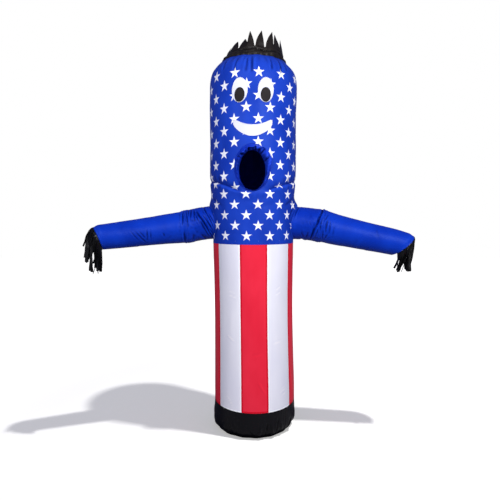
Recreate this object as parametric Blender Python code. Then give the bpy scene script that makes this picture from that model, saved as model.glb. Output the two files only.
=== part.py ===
# A wearable inflatable air dancer: a tall tube of thin nylon with a domed top, standing on its hem.
# Metres. The front faces -Y, +X is at the viewer's right, and the hem stands on Z = 0.
# Angles round the tube run from its front towards +X.

import math

import bmesh
import bpy
import numpy as np

GAP = 0.0003              # between the edges of pieces that are sewn together
CLOTH = 0.002             # thickness of one layer of the nylon with its seam
LAP = 0.0005              # between layers that lie on each other

TUBE_COLUMNS = 48         # facets round the tube
SEAM_HEIGHT = 1.095       # star cloth above, striped panels below
SKIRT_HEIGHT = 0.167      # striped panels above, black skirt below
SKIRT_DIP = 0.013         # that seam is lower at the front and higher at the back
DOME_START = 2.000        # the tube is upright below and turns inwards above
TOP_TILT = 0.015          # the domed top is higher at -X
DOME_PUCKER = 0.0012      # unevenness of the gathered edge under the hair

# Outline of the tube, from the skirt's seam to the hair's seam.
OUTLINE = (
    # height, radius, centre x
    (0.150, 0.2379, 0.0070),
    (0.260, 0.2372, 0.0065),
    (0.455, 0.2334, 0.0040),
    (0.755, 0.2311, 0.0006),
    (1.060, 0.2344, -0.0015),
    (1.200, 0.2368, -0.0030),
    (1.344, 0.2402, -0.0048),
    (1.400, 0.2446, -0.0040),
    (1.460, 0.2490, -0.0040),
    (1.620, 0.2486, -0.0035),
    (1.853, 0.2493, -0.0025),
    (1.945, 0.2502, 0.0000),
    (1.995, 0.2492, 0.0000),
    (2.030, 0.2440, 0.0000),
    (2.058, 0.2335, 0.0000),
    (2.086, 0.2120, 0.0000),
    (2.116, 0.1840, 0.0000),
)

# The round of cloth inside the hair.
CAP_RISE = 0.026          # its middle, above its edge
CAP_SEAM = 0.0022         # between its edge and the star cloth's

# The deep fold under the face opening, where the cloth tucks in between head and chest.
CREASE_FRONT = 1.380      # its height at the front
CREASE_RISE = 0.068       # how much higher it is at the sides and back
CREASE_SPREAD = math.radians(42)
CREASE_DEPTH = 0.014
CREASE_HALF_WIDTH = 0.011
CREASE_LIP = 0.007        # how far the cloth above hangs over the fold

# The gathered black skirt below the stripes, down to its hem on the ground.
SKIRT_ROWS = (
    # height, radius, depth of the gathers, layers of cloth
    (0.1670, 0.2379, 0.0000, 1),
    (0.1150, 0.2405, 0.0014, 1),
    (0.0600, 0.2430, 0.0028, 1),
    (0.0340, 0.2380, 0.0045, 1),
    (0.0180, 0.2250, 0.0045, 1),
    (0.0100, 0.2125, 0.0035, 2),
    (0.0000, 0.2110, 0.0030, 2),
)
SKIRT_COLUMNS = 60
SKIRT_GATHERS = 13
SKIRT_LEVEL = 0.060       # its rows are level from here down

# Ten striped panels, red at the front, in turn with white.
FRONT_PANEL = math.radians(37.6)
SIDE_PANEL = math.radians(38.2)
SIDE_PANELS = 2           # on each side of the front one
BACK_PANELS = 5
PANEL_COLUMNS = 5
PANEL_ROWS = (0.0, 0.20, 0.45, 0.70, 0.90, 1.0)     # shares of a panel's height

# The opening for the face, with its gathered hood of plain cloth behind the star cloth's edge.
FACE_X = -0.0085
FACE_CUT = (0.0980, 0.1275, 1.5100)       # half width, half height, height of the centre
HOOD_ROWS = (
    # half width, half height, centre height, depth behind the star cloth, depth of the puckers
    (0.1050, 0.1345, 1.5100, 0.0022, 0.0000),
    (0.0960, 0.1255, 1.5100, 0.0020, 0.0000),
    (0.0895, 0.1205, 1.5060, 0.0020, 0.0022),
    (0.0815, 0.1145, 1.5010, 0.0080, 0.0030),
    (0.0740, 0.1095, 1.4970, 0.0210, 0.0022),
    (0.0715, 0.1085, 1.4965, 0.0310, 0.0012),
)
HOOD_COLUMNS = 44
HOOD_PUCKERS = 11

# Printed-on face of sewn patches: two eyes with pupils, and a curved smile.
PATCH = 0.001             # thickness of a sewn-on patch
PATCHES = (
    # name, angle, height, width, height of the patch, layer, slot
    ("eye_left", -17.4, 1.917, 0.088, 0.134, 0, "white_cloth"),
    ("eye_right", 15.4, 1.917, 0.088, 0.134, 0, "white_cloth"),
    ("pupil_left", -17.4, 1.893, 0.055, 0.075, 1, "black_cloth"),
    ("pupil_right", 15.6, 1.893, 0.055, 0.075, 1, "black_cloth"),
)
MOUTH_ANGLE = -0.6
MOUTH_HALF_TURN = 24.6
MOUTH_TOP = 1.7355        # lowest point of its upper edge
MOUTH_THICKNESS = 0.0595
MOUTH_TOP_RISE = 0.0350   # how much higher the corners are along the upper edge
MOUTH_BOTTOM_RISE = 0.0560

# The black hair: a strip sewn into the top seam, cut into spikes.
HAIR_SEAM = 0.0018        # between the star cloth's edge and the hair's
HAIR_BAND = 0.045         # plain part below the spikes
HAIR_LEAN = 0.28          # how far it leans in for its height
HAIR_FLOP = 0.34          # how much more it leans in at -X, where it has flopped over
SPIKES = (
    # angle of the middle, height above the band, sideways lean of the tip
    (-6.5, 0.092, 0.002),
    (15.5, 0.100, 0.008),
    (37.0, 0.103, 0.014),
    (58.0, 0.094, -0.004),
    (80.0, 0.066, 0.004),
    (102.5, 0.050, -0.010),
    (125.0, 0.078, 0.008),
    (148.0, 0.066, 0.012),
    (171.0, 0.080, -0.006),
    (194.0, 0.072, 0.010),
    (217.0, 0.064, -0.008),
    (240.0, 0.056, 0.006),
    (262.5, 0.030, -0.006),
    (285.0, 0.028, 0.010),
    (307.5, 0.050, 0.020),
    (330.5, 0.052, 0.018),
)
SPIKE_SHOULDER = 0.05     # flat part of the strip at each side of a spike, as a share of its width

# The arms: a sleeve sewn to the tube, a forearm, a flat end and black ribbons for a hand.
ARM_COLUMNS = 24
ARMS = {
    "left": {
        "side": -1,
        "elbow": 0.400,
        "wrist": 0.857,
        "slant": 0.034,
        "shoulder": 0.014,
        "near": 0.0,
        "throw": 0.024,
        "clumps": (0.925, 0.872, 0.846),
        "ribbons": (0.085, 0.105, 0.030),     # the shortest, more from the top, unevenness
        "bare": (360, 360),                   # no ribbons between these angles from the top
        "rows": (
            # reach from the tube's axis, forward, height, radius
            (0.150, 0.000, 1.216, 0.0965),
            (0.230, 0.002, 1.214, 0.0965),
            (0.300, 0.010, 1.206, 0.0955),
            (0.400, 0.028, 1.187, 0.0915),
            (0.500, 0.060, 1.1755, 0.0855),
            (0.600, 0.096, 1.163, 0.0798),
            (0.740, 0.148, 1.146, 0.0742),
            (0.857, 0.192, 1.133, 0.0690),
            (0.930, 0.219, 1.124, 0.0680),
        ),
        "folds": (
            # reach, angle round from the top, half length, half width, depth, slant
            (0.300, 62, 0.060, 0.012, 0.0065, 0.62),
            (0.338, 38, 0.050, 0.011, 0.0050, 0.55),
            (0.262, 40, 0.045, 0.011, 0.0050, 0.75),
            (0.372, 20, 0.040, 0.012, 0.0045, 0.20),
            (0.330, 215, 0.050, 0.014, 0.0045, -0.40),
            (0.280, 300, 0.060, 0.013, 0.0050, -0.55),
            (0.405, 120, 0.045, 0.014, 0.0040, 0.15),
        ),
    },
    "right": {
        "side": 1,
        "elbow": 0.402,
        "wrist": 0.853,
        "slant": 0.089,
        "shoulder": 0.024,
        "near": 0.036,
        "throw": 0.000,
        "clumps": (0.870, 0.834),
        "ribbons": (0.085, 0.090, 0.014),
        "bare": (150, 265),
        "rows": (
            (0.150, 0.000, 1.211, 0.0950),
            (0.230, 0.002, 1.210, 0.0950),
            (0.300, 0.008, 1.206, 0.0945),
            (0.400, 0.016, 1.192, 0.0930),
            (0.480, 0.024, 1.171, 0.0890),
            (0.565, 0.034, 1.1525, 0.0845),
            (0.647, 0.044, 1.1345, 0.0811),
            (0.800, 0.063, 1.1025, 0.0757),
            (0.875, 0.073, 1.0830, 0.0725),
            (0.960, 0.084, 1.0620, 0.0700),
        ),
        "folds": (
            (0.350, 72, 0.085, 0.015, 0.0165, -0.30),
            (0.384, 45, 0.045, 0.012, 0.0075, -0.15),
            (0.262, 50, 0.050, 0.010, 0.0050, -0.35),
            (0.300, 190, 0.060, 0.014, 0.0045, 0.35),
            (0.330, 290, 0.060, 0.013, 0.0055, 0.50),
            (0.372, 130, 0.045, 0.012, 0.0045, 0.20),
        ),
    },
}
FOREARM_FOLDS = (
    (0.432, 60, 0.050, 0.013, 0.0050, -0.20),
    (0.470, 100, 0.045, 0.014, 0.0040, 0.15),
    (0.455, 250, 0.050, 0.014, 0.0040, 0.25),
    (0.560, 300, 0.050, 0.020, 0.0030, 0.10),
)
ELBOW_STEP = 0.0035           # how far the sleeve stands out at the seam of the elbow
ELBOW_SPREAD = (0.034, 0.011)     # over this length of the sleeve, and of the forearm
HAND_BULGE = 0.016
HAND_BAND = (0.0040, 0.0075)  # the ribbons' band, from the end of the sleeve
HAND_INSET = 0.0025           # and inside its edge
HAND_COLUMNS = 32             # round that band, with a ribbon from every second one
RIBBON_BENDS = (0.4, 1.0, 2.0)    # sections while it bends over the end, in bends
RIBBON_STEPS = 4              # and below that
RIBBON_WIDTHS = (0.0090, 0.0065)  # half of it below the root, and at the loose end
RIBBON_BEND = 0.005
RIBBON_GATHER = 0.70          # how far it hangs towards the nearest clump
RIBBON_TWIST = 0.9            # how far it turns from facing the front

COLOURS = {
    # slot: colour, roughness
    "star_cloth": ((0.030, 0.085, 0.530), 0.42),
    "blue_cloth": ((0.020, 0.070, 0.480), 0.38),
    "red_cloth": ((0.640, 0.015, 0.030), 0.40),
    "white_cloth": ((0.820, 0.820, 0.860), 0.45),
    "black_cloth": ((0.012, 0.012, 0.014), 0.45),
}


def clear_scene():
    for thing in list(bpy.data.objects):
        bpy.data.objects.remove(thing, do_unlink=True)


def finish(name, slot):
    colour, roughness = COLOURS[slot]
    material = bpy.data.materials.new(name)
    material.use_nodes = True
    shader = material.node_tree.nodes["Principled BSDF"]
    shader.inputs["Base Color"].default_value = (*colour, 1.0)
    shader.inputs["Roughness"].default_value = roughness
    shader.inputs["Metallic"].default_value = 0.0
    return material


def ease(amount):
    amount = min(max(amount, 0.0), 1.0)
    return amount * amount * (3.0 - 2.0 * amount)


def smooth_row(rows, at):
    # The later columns of a table at a place in its first column, on a curve through its rows.
    keys = [row[0] for row in rows]
    values = np.array([row[1:] for row in rows], dtype=float)
    last = len(keys) - 1
    index = int(np.clip(np.searchsorted(keys, at) - 1, 0, last - 1))
    step = keys[index + 1] - keys[index]
    share = min(max((at - keys[index]) / step, 0.0), 1.0)

    def slope(row):
        before, after = max(row - 1, 0), min(row + 1, last)
        return (values[after] - values[before]) / (keys[after] - keys[before])

    start, end = slope(index) * step, slope(index + 1) * step
    squared, cubed = share * share, share ** 3
    return ((2 * cubed - 3 * squared + 1) * values[index] + (cubed - 2 * squared + share) * start
            + (3 * squared - 2 * cubed) * values[index + 1] + (cubed - squared) * end)


def closed_piece(name, slot, face, back, wrap):
    # One closed piece of cloth between two grids of points, each a list of rows.
    builder = bmesh.new()
    sides = [[[builder.verts.new(point) for point in row] for row in grid] for grid in (face, back)]
    row_count, column_count = len(face), len(face[0])
    spans = column_count if wrap else column_count - 1

    def quad(*corners):
        if len(set(corners)) > 2:
            builder.faces.new(corners)

    for row in range(row_count - 1):
        for column in range(spans):
            after = (column + 1) % column_count
            for side in sides:
                quad(side[row][column], side[row][after], side[row + 1][after], side[row + 1][column])
    for row in (0, row_count - 1):
        for column in range(spans):
            after = (column + 1) % column_count
            quad(sides[0][row][column], sides[0][row][after], sides[1][row][after], sides[1][row][column])
    if not wrap:
        for column in (0, column_count - 1):
            for row in range(row_count - 1):
                quad(sides[0][row][column], sides[0][row + 1][column],
                     sides[1][row + 1][column], sides[1][row][column])
    return piece_from(name, slot, builder)


def piece_from(name, slot, builder):
    bmesh.ops.remove_doubles(builder, verts=builder.verts, dist=1e-6)
    flat = [face for face in builder.faces if face.calc_area() < 1e-12]
    bmesh.ops.delete(builder, geom=flat, context="FACES_ONLY")
    bmesh.ops.recalc_face_normals(builder, faces=builder.faces)
    mesh = bpy.data.meshes.new(name)
    builder.to_mesh(mesh)
    builder.free()
    mesh.shade_smooth()
    mesh.set_sharp_from_angle(angle=math.radians(50))
    mesh.materials.append(finish(name, slot))
    piece = bpy.data.objects.new(name, mesh)
    bpy.context.scene.collection.objects.link(piece)
    return piece


def moved_out(surface, across, along, distance, step=1e-4):
    # A point of a surface, moved along the surface's outward normal.
    point = surface(across, along)
    if distance == 0.0:
        return point
    over = surface(across + step, along) - surface(across - step, along)
    up = surface(across, along + step) - surface(across, along - step)
    normal = np.cross(over, up)
    return point + normal / np.linalg.norm(normal) * distance


def cut(piece, cutter):
    cutter.hide_render = True
    cutter.display_type = "WIRE"
    hole = piece.modifiers.new(cutter.name, "BOOLEAN")
    hole.operation = "DIFFERENCE"
    hole.solver = "EXACT"
    hole.object = cutter


# The tube

def outline(height):
    radius, centre_x = smooth_row(OUTLINE, height)
    return radius, centre_x


def dome_path():
    # Length of cloth up the tube against height, so that rows are even over the domed top.
    heights = np.linspace(DOME_START, OUTLINE[-1][0], 60)
    radii = np.array([outline(height)[0] for height in heights])
    steps = np.hypot(np.diff(heights), np.diff(radii))
    return heights, DOME_START + np.concatenate(([0.0], np.cumsum(steps)))


DOME_HEIGHTS, DOME_STATIONS = dome_path()
TOP_STATION = float(DOME_STATIONS[-1])


def height_of(station):
    if station <= DOME_START:
        return station
    return float(np.interp(station, DOME_STATIONS, DOME_HEIGHTS))


def crease_height(angle):
    turn = (angle + math.pi) % (2 * math.pi) - math.pi
    return CREASE_FRONT + CREASE_RISE * (1.0 - math.exp(-(turn / CREASE_SPREAD) ** 2))


def crease_strength(angle):
    turn = abs((angle + math.pi) % (2 * math.pi) - math.pi)
    beside_face = ease((turn - math.radians(18)) / math.radians(16))
    behind = 1.0 - 0.6 * ease((turn - math.radians(105)) / math.radians(50))
    return beside_face * behind


def shoulder(angle, height):
    # The star cloth is drawn out to the sleeve above each armhole.
    out = 0.0
    for arm in ARMS.values():
        if math.sin(angle) * arm["side"] <= 0.0:
            continue
        forward, centre, radius = smooth_row(arm["rows"], 0.230)
        across = -0.236 * math.cos(angle) + forward
        above = height - centre
        distance = math.hypot(across, above)
        lift = max(above / max(distance, 1e-6), 0.0) ** 1.5
        away = max(distance - radius, 0.0) / 0.032
        out += arm["shoulder"] * lift * math.exp(-away * away) * ease(distance / radius)
    return out


def star_cloth(angle, station):
    height = height_of(station)
    radius, centre_x = outline(height)
    beside = station - crease_height(angle)
    strength = crease_strength(angle)
    radius -= CREASE_DEPTH * strength * math.exp(-(beside / CREASE_HALF_WIDTH) ** 2)
    height -= CREASE_LIP * strength * math.exp(-((beside - 0.013) / 0.011) ** 2)
    turn = (angle + math.pi) % (2 * math.pi) - math.pi
    chin = math.exp(-(turn / math.radians(24)) ** 2) * math.exp(-((beside + 0.012) / 0.022) ** 2)
    radius += 0.005 * chin
    radius += shoulder(angle, height)
    top = ease((station - 1.98) / 0.15)
    height -= TOP_TILT * math.sin(angle) * top
    pucker = math.sin(13 * angle + 0.9 * math.sin(2 * angle))
    height += DOME_PUCKER * pucker * ease((station - 2.06) / 0.08)
    return np.array((centre_x + radius * math.sin(angle), -radius * math.cos(angle), height))


def star_stations(angle):
    # Rows of the star cloth at one angle: they follow the crease, so they aren't level.
    crease = crease_height(angle)
    below = np.linspace(SEAM_HEIGHT, crease - 0.027, 5)
    fold = crease + np.array((-0.017, -0.009, -0.002, 0.005, 0.012, 0.021))
    above = np.linspace(crease + 0.036, DOME_START, 7)
    dome = np.linspace(DOME_START, TOP_STATION, 6)[1:]
    return np.concatenate((below, fold, above, dome))


def round_angles(count):
    return [2 * math.pi * index / count for index in range(count)]


def star_tube():
    angles = round_angles(TUBE_COLUMNS)
    by_column = [star_stations(angle) for angle in angles]
    rows = range(len(by_column[0]))

    def grid(distance):
        return [[moved_out(star_cloth, angle, by_column[index][row], distance)
                 for index, angle in enumerate(angles)] for row in rows]

    piece = closed_piece("star_tube", "star_cloth", grid(0.0), grid(-CLOTH), wrap=True)
    cut(piece, face_cutter())
    for name, arm in ARMS.items():
        cut(piece, armhole_cutter(name, arm))
    return piece


def face_cutter():
    half_width, half_height, centre = FACE_CUT
    rows = []
    for depth in (-0.32, -0.17):
        rows.append([np.array((FACE_X + half_width * math.sin(turn), depth,
                               centre + half_height * math.cos(turn)))
                     for turn in round_angles(HOOD_COLUMNS)])
    return plug("face_cutter", rows)


def plug(name, rows):
    # A closed solid through rings of points, for cutting a hole.
    builder = bmesh.new()
    rings = [[builder.verts.new(point) for point in row] for row in rows]
    count = len(rings[0])
    for lower, upper in zip(rings, rings[1:]):
        for column in range(count):
            after = (column + 1) % count
            builder.faces.new((lower[column], lower[after], upper[after], upper[column]))
    builder.faces.new(rings[0])
    builder.faces.new(rings[-1])
    return piece_from(name, "blue_cloth", builder)


def crown_cap():
    # The round of cloth inside the hair.
    def cap(angle, share):
        rim = star_cloth(angle, TOP_STATION)
        middle = np.array((0.0, 0.0, OUTLINE[-1][0] + CAP_RISE))
        reach = share * (1.0 - CAP_SEAM / OUTLINE[-1][1])
        point = middle + (rim - middle) * reach
        point[2] = middle[2] + (rim[2] - middle[2]) * reach ** 2
        return point

    shares = (0.0, 0.55, 1.0)
    angles = round_angles(TUBE_COLUMNS)
    face = [[cap(angle, share) for angle in angles] for share in shares]
    back = [[point - np.array((0.0, 0.0, CLOTH)) for point in row] for row in face]
    return round_piece("crown_cap", "blue_cloth", face, back)


def round_piece(name, slot, face, back):
    # A closed disc whose first row is its middle.
    builder = bmesh.new()
    grids = []
    for grid in (face, back):
        middle = builder.verts.new(grid[0][0])
        grids.append([[middle] * len(grid[0])] + [[builder.verts.new(point) for point in row]
                                                  for row in grid[1:]])
    count = len(face[0])
    for column in range(count):
        after = (column + 1) % count
        for grid in grids:
            builder.faces.new((grid[0][0], grid[1][column], grid[1][after]))
            for lower, upper in zip(grid[1:], grid[2:]):
                builder.faces.new((lower[column], lower[after], upper[after], upper[column]))
        builder.faces.new((grids[0][-1][column], grids[0][-1][after],
                           grids[1][-1][after], grids[1][-1][column]))
    return piece_from(name, slot, builder)


# The hair

def hair_band():
    marks = []
    for index, (middle, height, lean) in enumerate(SPIKES):
        before = SPIKES[index - 1][0] - (360 if index == 0 else 0)
        after = SPIKES[(index + 1) % len(SPIKES)][0] + (360 if index == len(SPIKES) - 1 else 0)
        start, end = (before + middle) / 2, (middle + after) / 2
        width = end - start
        tip = math.degrees(lean / OUTLINE[-1][1])
        marks.append((start, 0.0, 0.0))
        marks.append((start + SPIKE_SHOULDER * width, 0.0, 0.0))
        marks.append((middle, height, tip))
        marks.append((end - SPIKE_SHOULDER * width, 0.0, 0.0))

    def strip(mark, share, distance):
        angle, height, tip = mark
        turned = math.radians(angle + tip * max(share - 1.0, 0.0))
        rise = share * HAIR_BAND if share <= 1.0 else HAIR_BAND + height * (share - 1.0)
        base = star_cloth(turned, TOP_STATION)
        flop = HAIR_FLOP * ease(-math.sin(turned) * 1.4)
        radius = OUTLINE[-1][1] + distance - (HAIR_LEAN + flop) * rise
        height = base[2] + HAIR_SEAM + rise
        return np.array((radius * math.sin(turned), -radius * math.cos(turned), height))

    shares = (0.0, 0.5, 1.0, 2.0)
    face = [[strip(mark, share, 0.0) for mark in marks] for share in shares]
    back = [[strip(mark, share, -CLOTH) for mark in marks] for share in shares]
    # Between spikes the strip ends at the band's own edge, a little above its last full row.
    for grid in (face, back):
        for column, mark in enumerate(marks):
            if mark[1] == 0.0:
                grid[3][column] = grid[2][column] + np.array((0.0, 0.0, 0.002))
    return closed_piece("hair_band", "black_cloth", face, back, wrap=True)


# The hood round the face opening

def hood():
    def ring(turn, row, distance):
        half_width, half_height, centre, depth, pucker = row
        wave = math.sin(HOOD_PUCKERS * turn + 1.2 * math.sin(turn) + 0.7 * math.sin(3 * turn))
        sideways = FACE_X + (half_width + 0.5 * pucker * wave) * math.sin(turn)
        height = centre + (half_height + 0.5 * pucker * wave) * math.cos(turn)
        radius, centre_x = outline(min(height, DOME_START))
        inside = radius - CLOTH - depth - pucker * (0.5 + 0.5 * wave) + distance
        return np.array((sideways, -math.sqrt(inside ** 2 - (sideways - centre_x) ** 2), height))

    turns = round_angles(HOOD_COLUMNS)
    face = [[ring(turn, row, 0.0) for turn in turns] for row in HOOD_ROWS]
    back = [[ring(turn, row, -CLOTH) for turn in turns] for row in HOOD_ROWS]
    # The last row is the drawn-in edge, which turns towards the middle of its own thickness.
    middle = np.array((FACE_X, 0.0, HOOD_ROWS[-1][2]))
    for column in range(HOOD_COLUMNS):
        towards = face[-1][column] - middle
        towards[1] = 0.0
        towards = towards / np.linalg.norm(towards)
        back[-1][column] = face[-1][column] + towards * CLOTH
        towards = towards * CLOTH * 0.6
        back[-2][column] = back[-2][column] + towards
    return closed_piece("face_hood", "blue_cloth", face, back, wrap=True)


# The sewn-on face

def patches():
    for name, angle, height, width, tall, layer, slot in PATCHES:
        segments, rings = (18, (0.0, 0.34, 0.68, 1.0)) if layer == 0 else (14, (0.0, 0.5, 1.0))
        lift = LAP + layer * (PATCH + LAP)

        def spot(turn, share, distance):
            across = math.radians(angle) + share * width / 2 / 0.25 * math.sin(turn)
            return moved_out(star_cloth, across, height + share * tall / 2 * math.cos(turn), distance)

        face = [[spot(turn, share, lift + PATCH) for turn in round_angles(segments)] for share in rings]
        back = [[spot(turn, share, lift) for turn in round_angles(segments)] for share in rings]
        round_piece(name, slot, face, back)


def mouth():
    columns, rows = 15, (0.0, 0.5, 1.0)

    def spot(column, row, distance):
        along = 2.0 * column / (columns - 1) - 1.0
        across = math.radians(MOUTH_ANGLE + MOUTH_HALF_TURN * along)
        upper = MOUTH_TOP + MOUTH_TOP_RISE * along ** 2
        lower = MOUTH_TOP - MOUTH_THICKNESS + MOUTH_BOTTOM_RISE * along ** 2
        blunt = 0.25 * abs(along) ** 14
        height = lower + (upper - lower) * (row * (1.0 - 2.0 * blunt) + blunt)
        return moved_out(star_cloth, across, height, distance)

    face = [[spot(column, row, LAP + PATCH) for column in range(columns)] for row in rows]
    back = [[spot(column, row, LAP) for column in range(columns)] for row in rows]
    return closed_piece("mouth", "white_cloth", face, back, wrap=False)


# The arms

def arm_frame(arm, reach):
    def centre(at):
        forward, height, _ = smooth_row(arm["rows"], at)
        return np.array((arm["side"] * at, -forward, height))

    axis = centre(reach + 0.002) - centre(reach - 0.002)
    axis = axis / np.linalg.norm(axis)
    up = np.array((0.0, 0.0, 1.0)) - axis[2] * axis
    up = up / np.linalg.norm(up)
    front = -arm["side"] * np.cross(up, axis)
    return centre(reach), axis, up, front


def fold_depth(folds, reach, turn, radius):
    depth = 0.0
    for at, round_degrees, half_length, half_width, deep, slant in folds:
        along = reach - at
        around = (turn - math.radians(round_degrees) + math.pi) % (2 * math.pi) - math.pi
        around = around * radius
        across = along - slant * around
        depth += deep * math.exp(-(across / half_width) ** 2) * math.exp(-(around / half_length) ** 4)
    return depth


def arm_surface(arm, turn, reach, distance=0.0, folds=()):
    centre, axis, up, front = arm_frame(arm, reach)
    radius = smooth_row(arm["rows"], reach)[2]
    radius -= fold_depth(folds, reach, turn, radius)
    beyond = reach - arm["elbow"]
    radius += ELBOW_STEP * math.exp(-(beyond / ELBOW_SPREAD[beyond > 0.0]) ** 2)
    return centre + (radius + distance) * (math.cos(turn) * up + math.sin(turn) * front)


def armhole_cutter(name, arm):
    turns = round_angles(ARM_COLUMNS)
    rows = [[arm_surface(arm, turn, reach, LAP) for turn in turns]
            for reach in (0.160, 0.200, 0.225, 0.245, 0.265, 0.285, 0.305, 0.330)]
    return plug("armhole_cutter_" + name, rows)


def sleeve_root(arm, turn):
    # Where a line along the sleeve meets the inside of the tube's wall.
    low, high = 0.160, 0.330
    for _ in range(30):
        reach = (low + high) / 2
        point = arm_surface(arm, turn, reach)
        centre_x = outline(point[2])[1]
        angle = math.atan2(point[0] - centre_x, -point[1])
        wall = star_cloth(angle, point[2])
        wall_radius = math.hypot(wall[0] - centre_x, wall[1])
        if math.hypot(point[0] - centre_x, point[1]) < wall_radius - CLOTH - 0.001:
            low = reach
        else:
            high = reach
    return low


def upper_sleeve(name, arm):
    turns = round_angles(ARM_COLUMNS)
    starts = [sleeve_root(arm, turn) for turn in turns]
    shares = (0.0, 0.11, 0.22, 0.33, 0.44, 0.53, 0.61, 0.69, 0.77, 0.85, 0.93, 1.0)
    end = arm["elbow"] - GAP / 2

    def place(index, share, distance):
        reach = starts[index] + (end - starts[index]) * share
        held = ease(share / 0.3)
        folds = [(*row[:4], row[4] * held, row[5]) for row in arm["folds"]]
        return arm_surface(arm, turns[index], reach, distance, folds)

    face = [[place(index, share, 0.0) for index in range(ARM_COLUMNS)] for share in shares]
    back = [[place(index, share, -CLOTH) for index in range(ARM_COLUMNS)] for share in shares]
    return closed_piece("upper_sleeve_" + name, "blue_cloth", face, back, wrap=True)


def wrist_reach(arm, turn, distance=0.0):
    # Where the forearm ends: on a plane across the arm that isn't square to it.
    radius = smooth_row(arm["rows"], arm["wrist"])[2]
    slope = (0.5 * arm["slant"] * math.cos(turn) + arm["near"] * math.sin(turn)) / radius
    return arm["wrist"] + slope * (radius + distance)


def forearm(name, arm):
    turns = round_angles(ARM_COLUMNS)
    shares = (0.0, 0.03, 0.09, 0.19, 0.36, 0.64, 1.0)
    start = arm["elbow"] + GAP / 2

    def place(turn, share, distance):
        reach = start + (wrist_reach(arm, turn, distance) - start) * share
        folds = [(*row[:4], row[4] * (1.0 - share), row[5]) for row in arm["folds"] + FOREARM_FOLDS]
        return arm_surface(arm, turn, reach, distance, folds)

    face = [[place(turn, share, 0.0) for turn in turns] for share in shares]
    back = [[place(turn, share, -CLOTH) for turn in turns] for share in shares]
    return closed_piece("forearm_" + name, "blue_cloth", face, back, wrap=True)


def hand_end(name, arm):
    # The flat end that closes the forearm.
    turns = round_angles(ARM_COLUMNS)
    centre, axis, _, _ = arm_frame(arm, arm["wrist"])
    shares = (0.0, 0.55, 1.0)

    def place(turn, share, distance):
        rim = arm_surface(arm, turn, wrist_reach(arm, turn))
        bulge = HAND_BULGE * (1.0 - share ** 2)
        return centre + (rim - centre) * share + axis * (GAP + bulge + distance)

    face = [[place(turn, share, CLOTH) for turn in turns] for share in shares]
    back = [[place(turn, share, 0.0) for turn in turns] for share in shares]
    return round_piece("hand_end_" + name, "blue_cloth", face, back)


def ribbon_sections(arm, turn, start, tangent):
    # Cross-sections of one ribbon: out over the end of the sleeve, down, and turned to the front.
    axis = arm_frame(arm, arm["wrist"])[1]
    outward = np.array((axis[0], axis[1], 0.0)) / math.hypot(axis[0], axis[1])
    down = np.array((0.0, 0.0, -1.0))
    above = 0.5 + 0.5 * math.cos(turn)
    bend = RIBBON_BEND + arm["throw"] * above
    shortest, longer, uneven = arm["ribbons"]
    length = shortest + longer * above + uneven * (1.0 + math.sin(7.3 * turn + arm["side"]))
    clump = min(arm["clumps"], key=lambda reach: abs(reach - abs(start[0])))
    drift = RIBBON_GATHER * (clump - abs(start[0])) / length
    fall = -tangent[2]
    facing = RIBBON_TWIST * math.sin(5.0 * turn + 2.0)
    final = math.cos(facing) * outward + math.sin(facing) * np.array((0.0, -1.0, 0.0))
    if np.dot(final, tangent - fall * down - fall * outward) < 0.0:
        final = -final

    marks = [bend * share for share in RIBBON_BENDS]
    marks += list(np.linspace(marks[-1], length, RIBBON_STEPS + 1)[1:])
    sections, middle, travelled, fine = [], start.copy(), 0.0, 12
    for mark in marks:
        step = (mark - travelled) / fine
        for _ in range(fine):
            travelled += step
            level = math.exp(-travelled / bend)
            heading = axis * level + (down + outward * drift) * (1.0 - level)
            heading = heading / np.linalg.norm(heading)
            middle = middle + heading * step
        sections.append((middle, heading, level, travelled / length))

    rows = []
    for middle, heading, level, share in sections:
        edge_on = down * level - outward * (1.0 - level)
        bent = tangent - fall * down + fall * edge_on / np.linalg.norm(edge_on)
        turned = ease(share / 0.4)
        across = bent * (1.0 - turned) + final * turned
        across = across - np.dot(across, heading) * heading
        across = across / np.linalg.norm(across)
        width = RIBBON_WIDTHS[0] + (RIBBON_WIDTHS[1] - RIBBON_WIDTHS[0]) * share
        rows.append((middle, across * width, np.cross(heading, across) * CLOTH / 2))
    return rows


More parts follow.
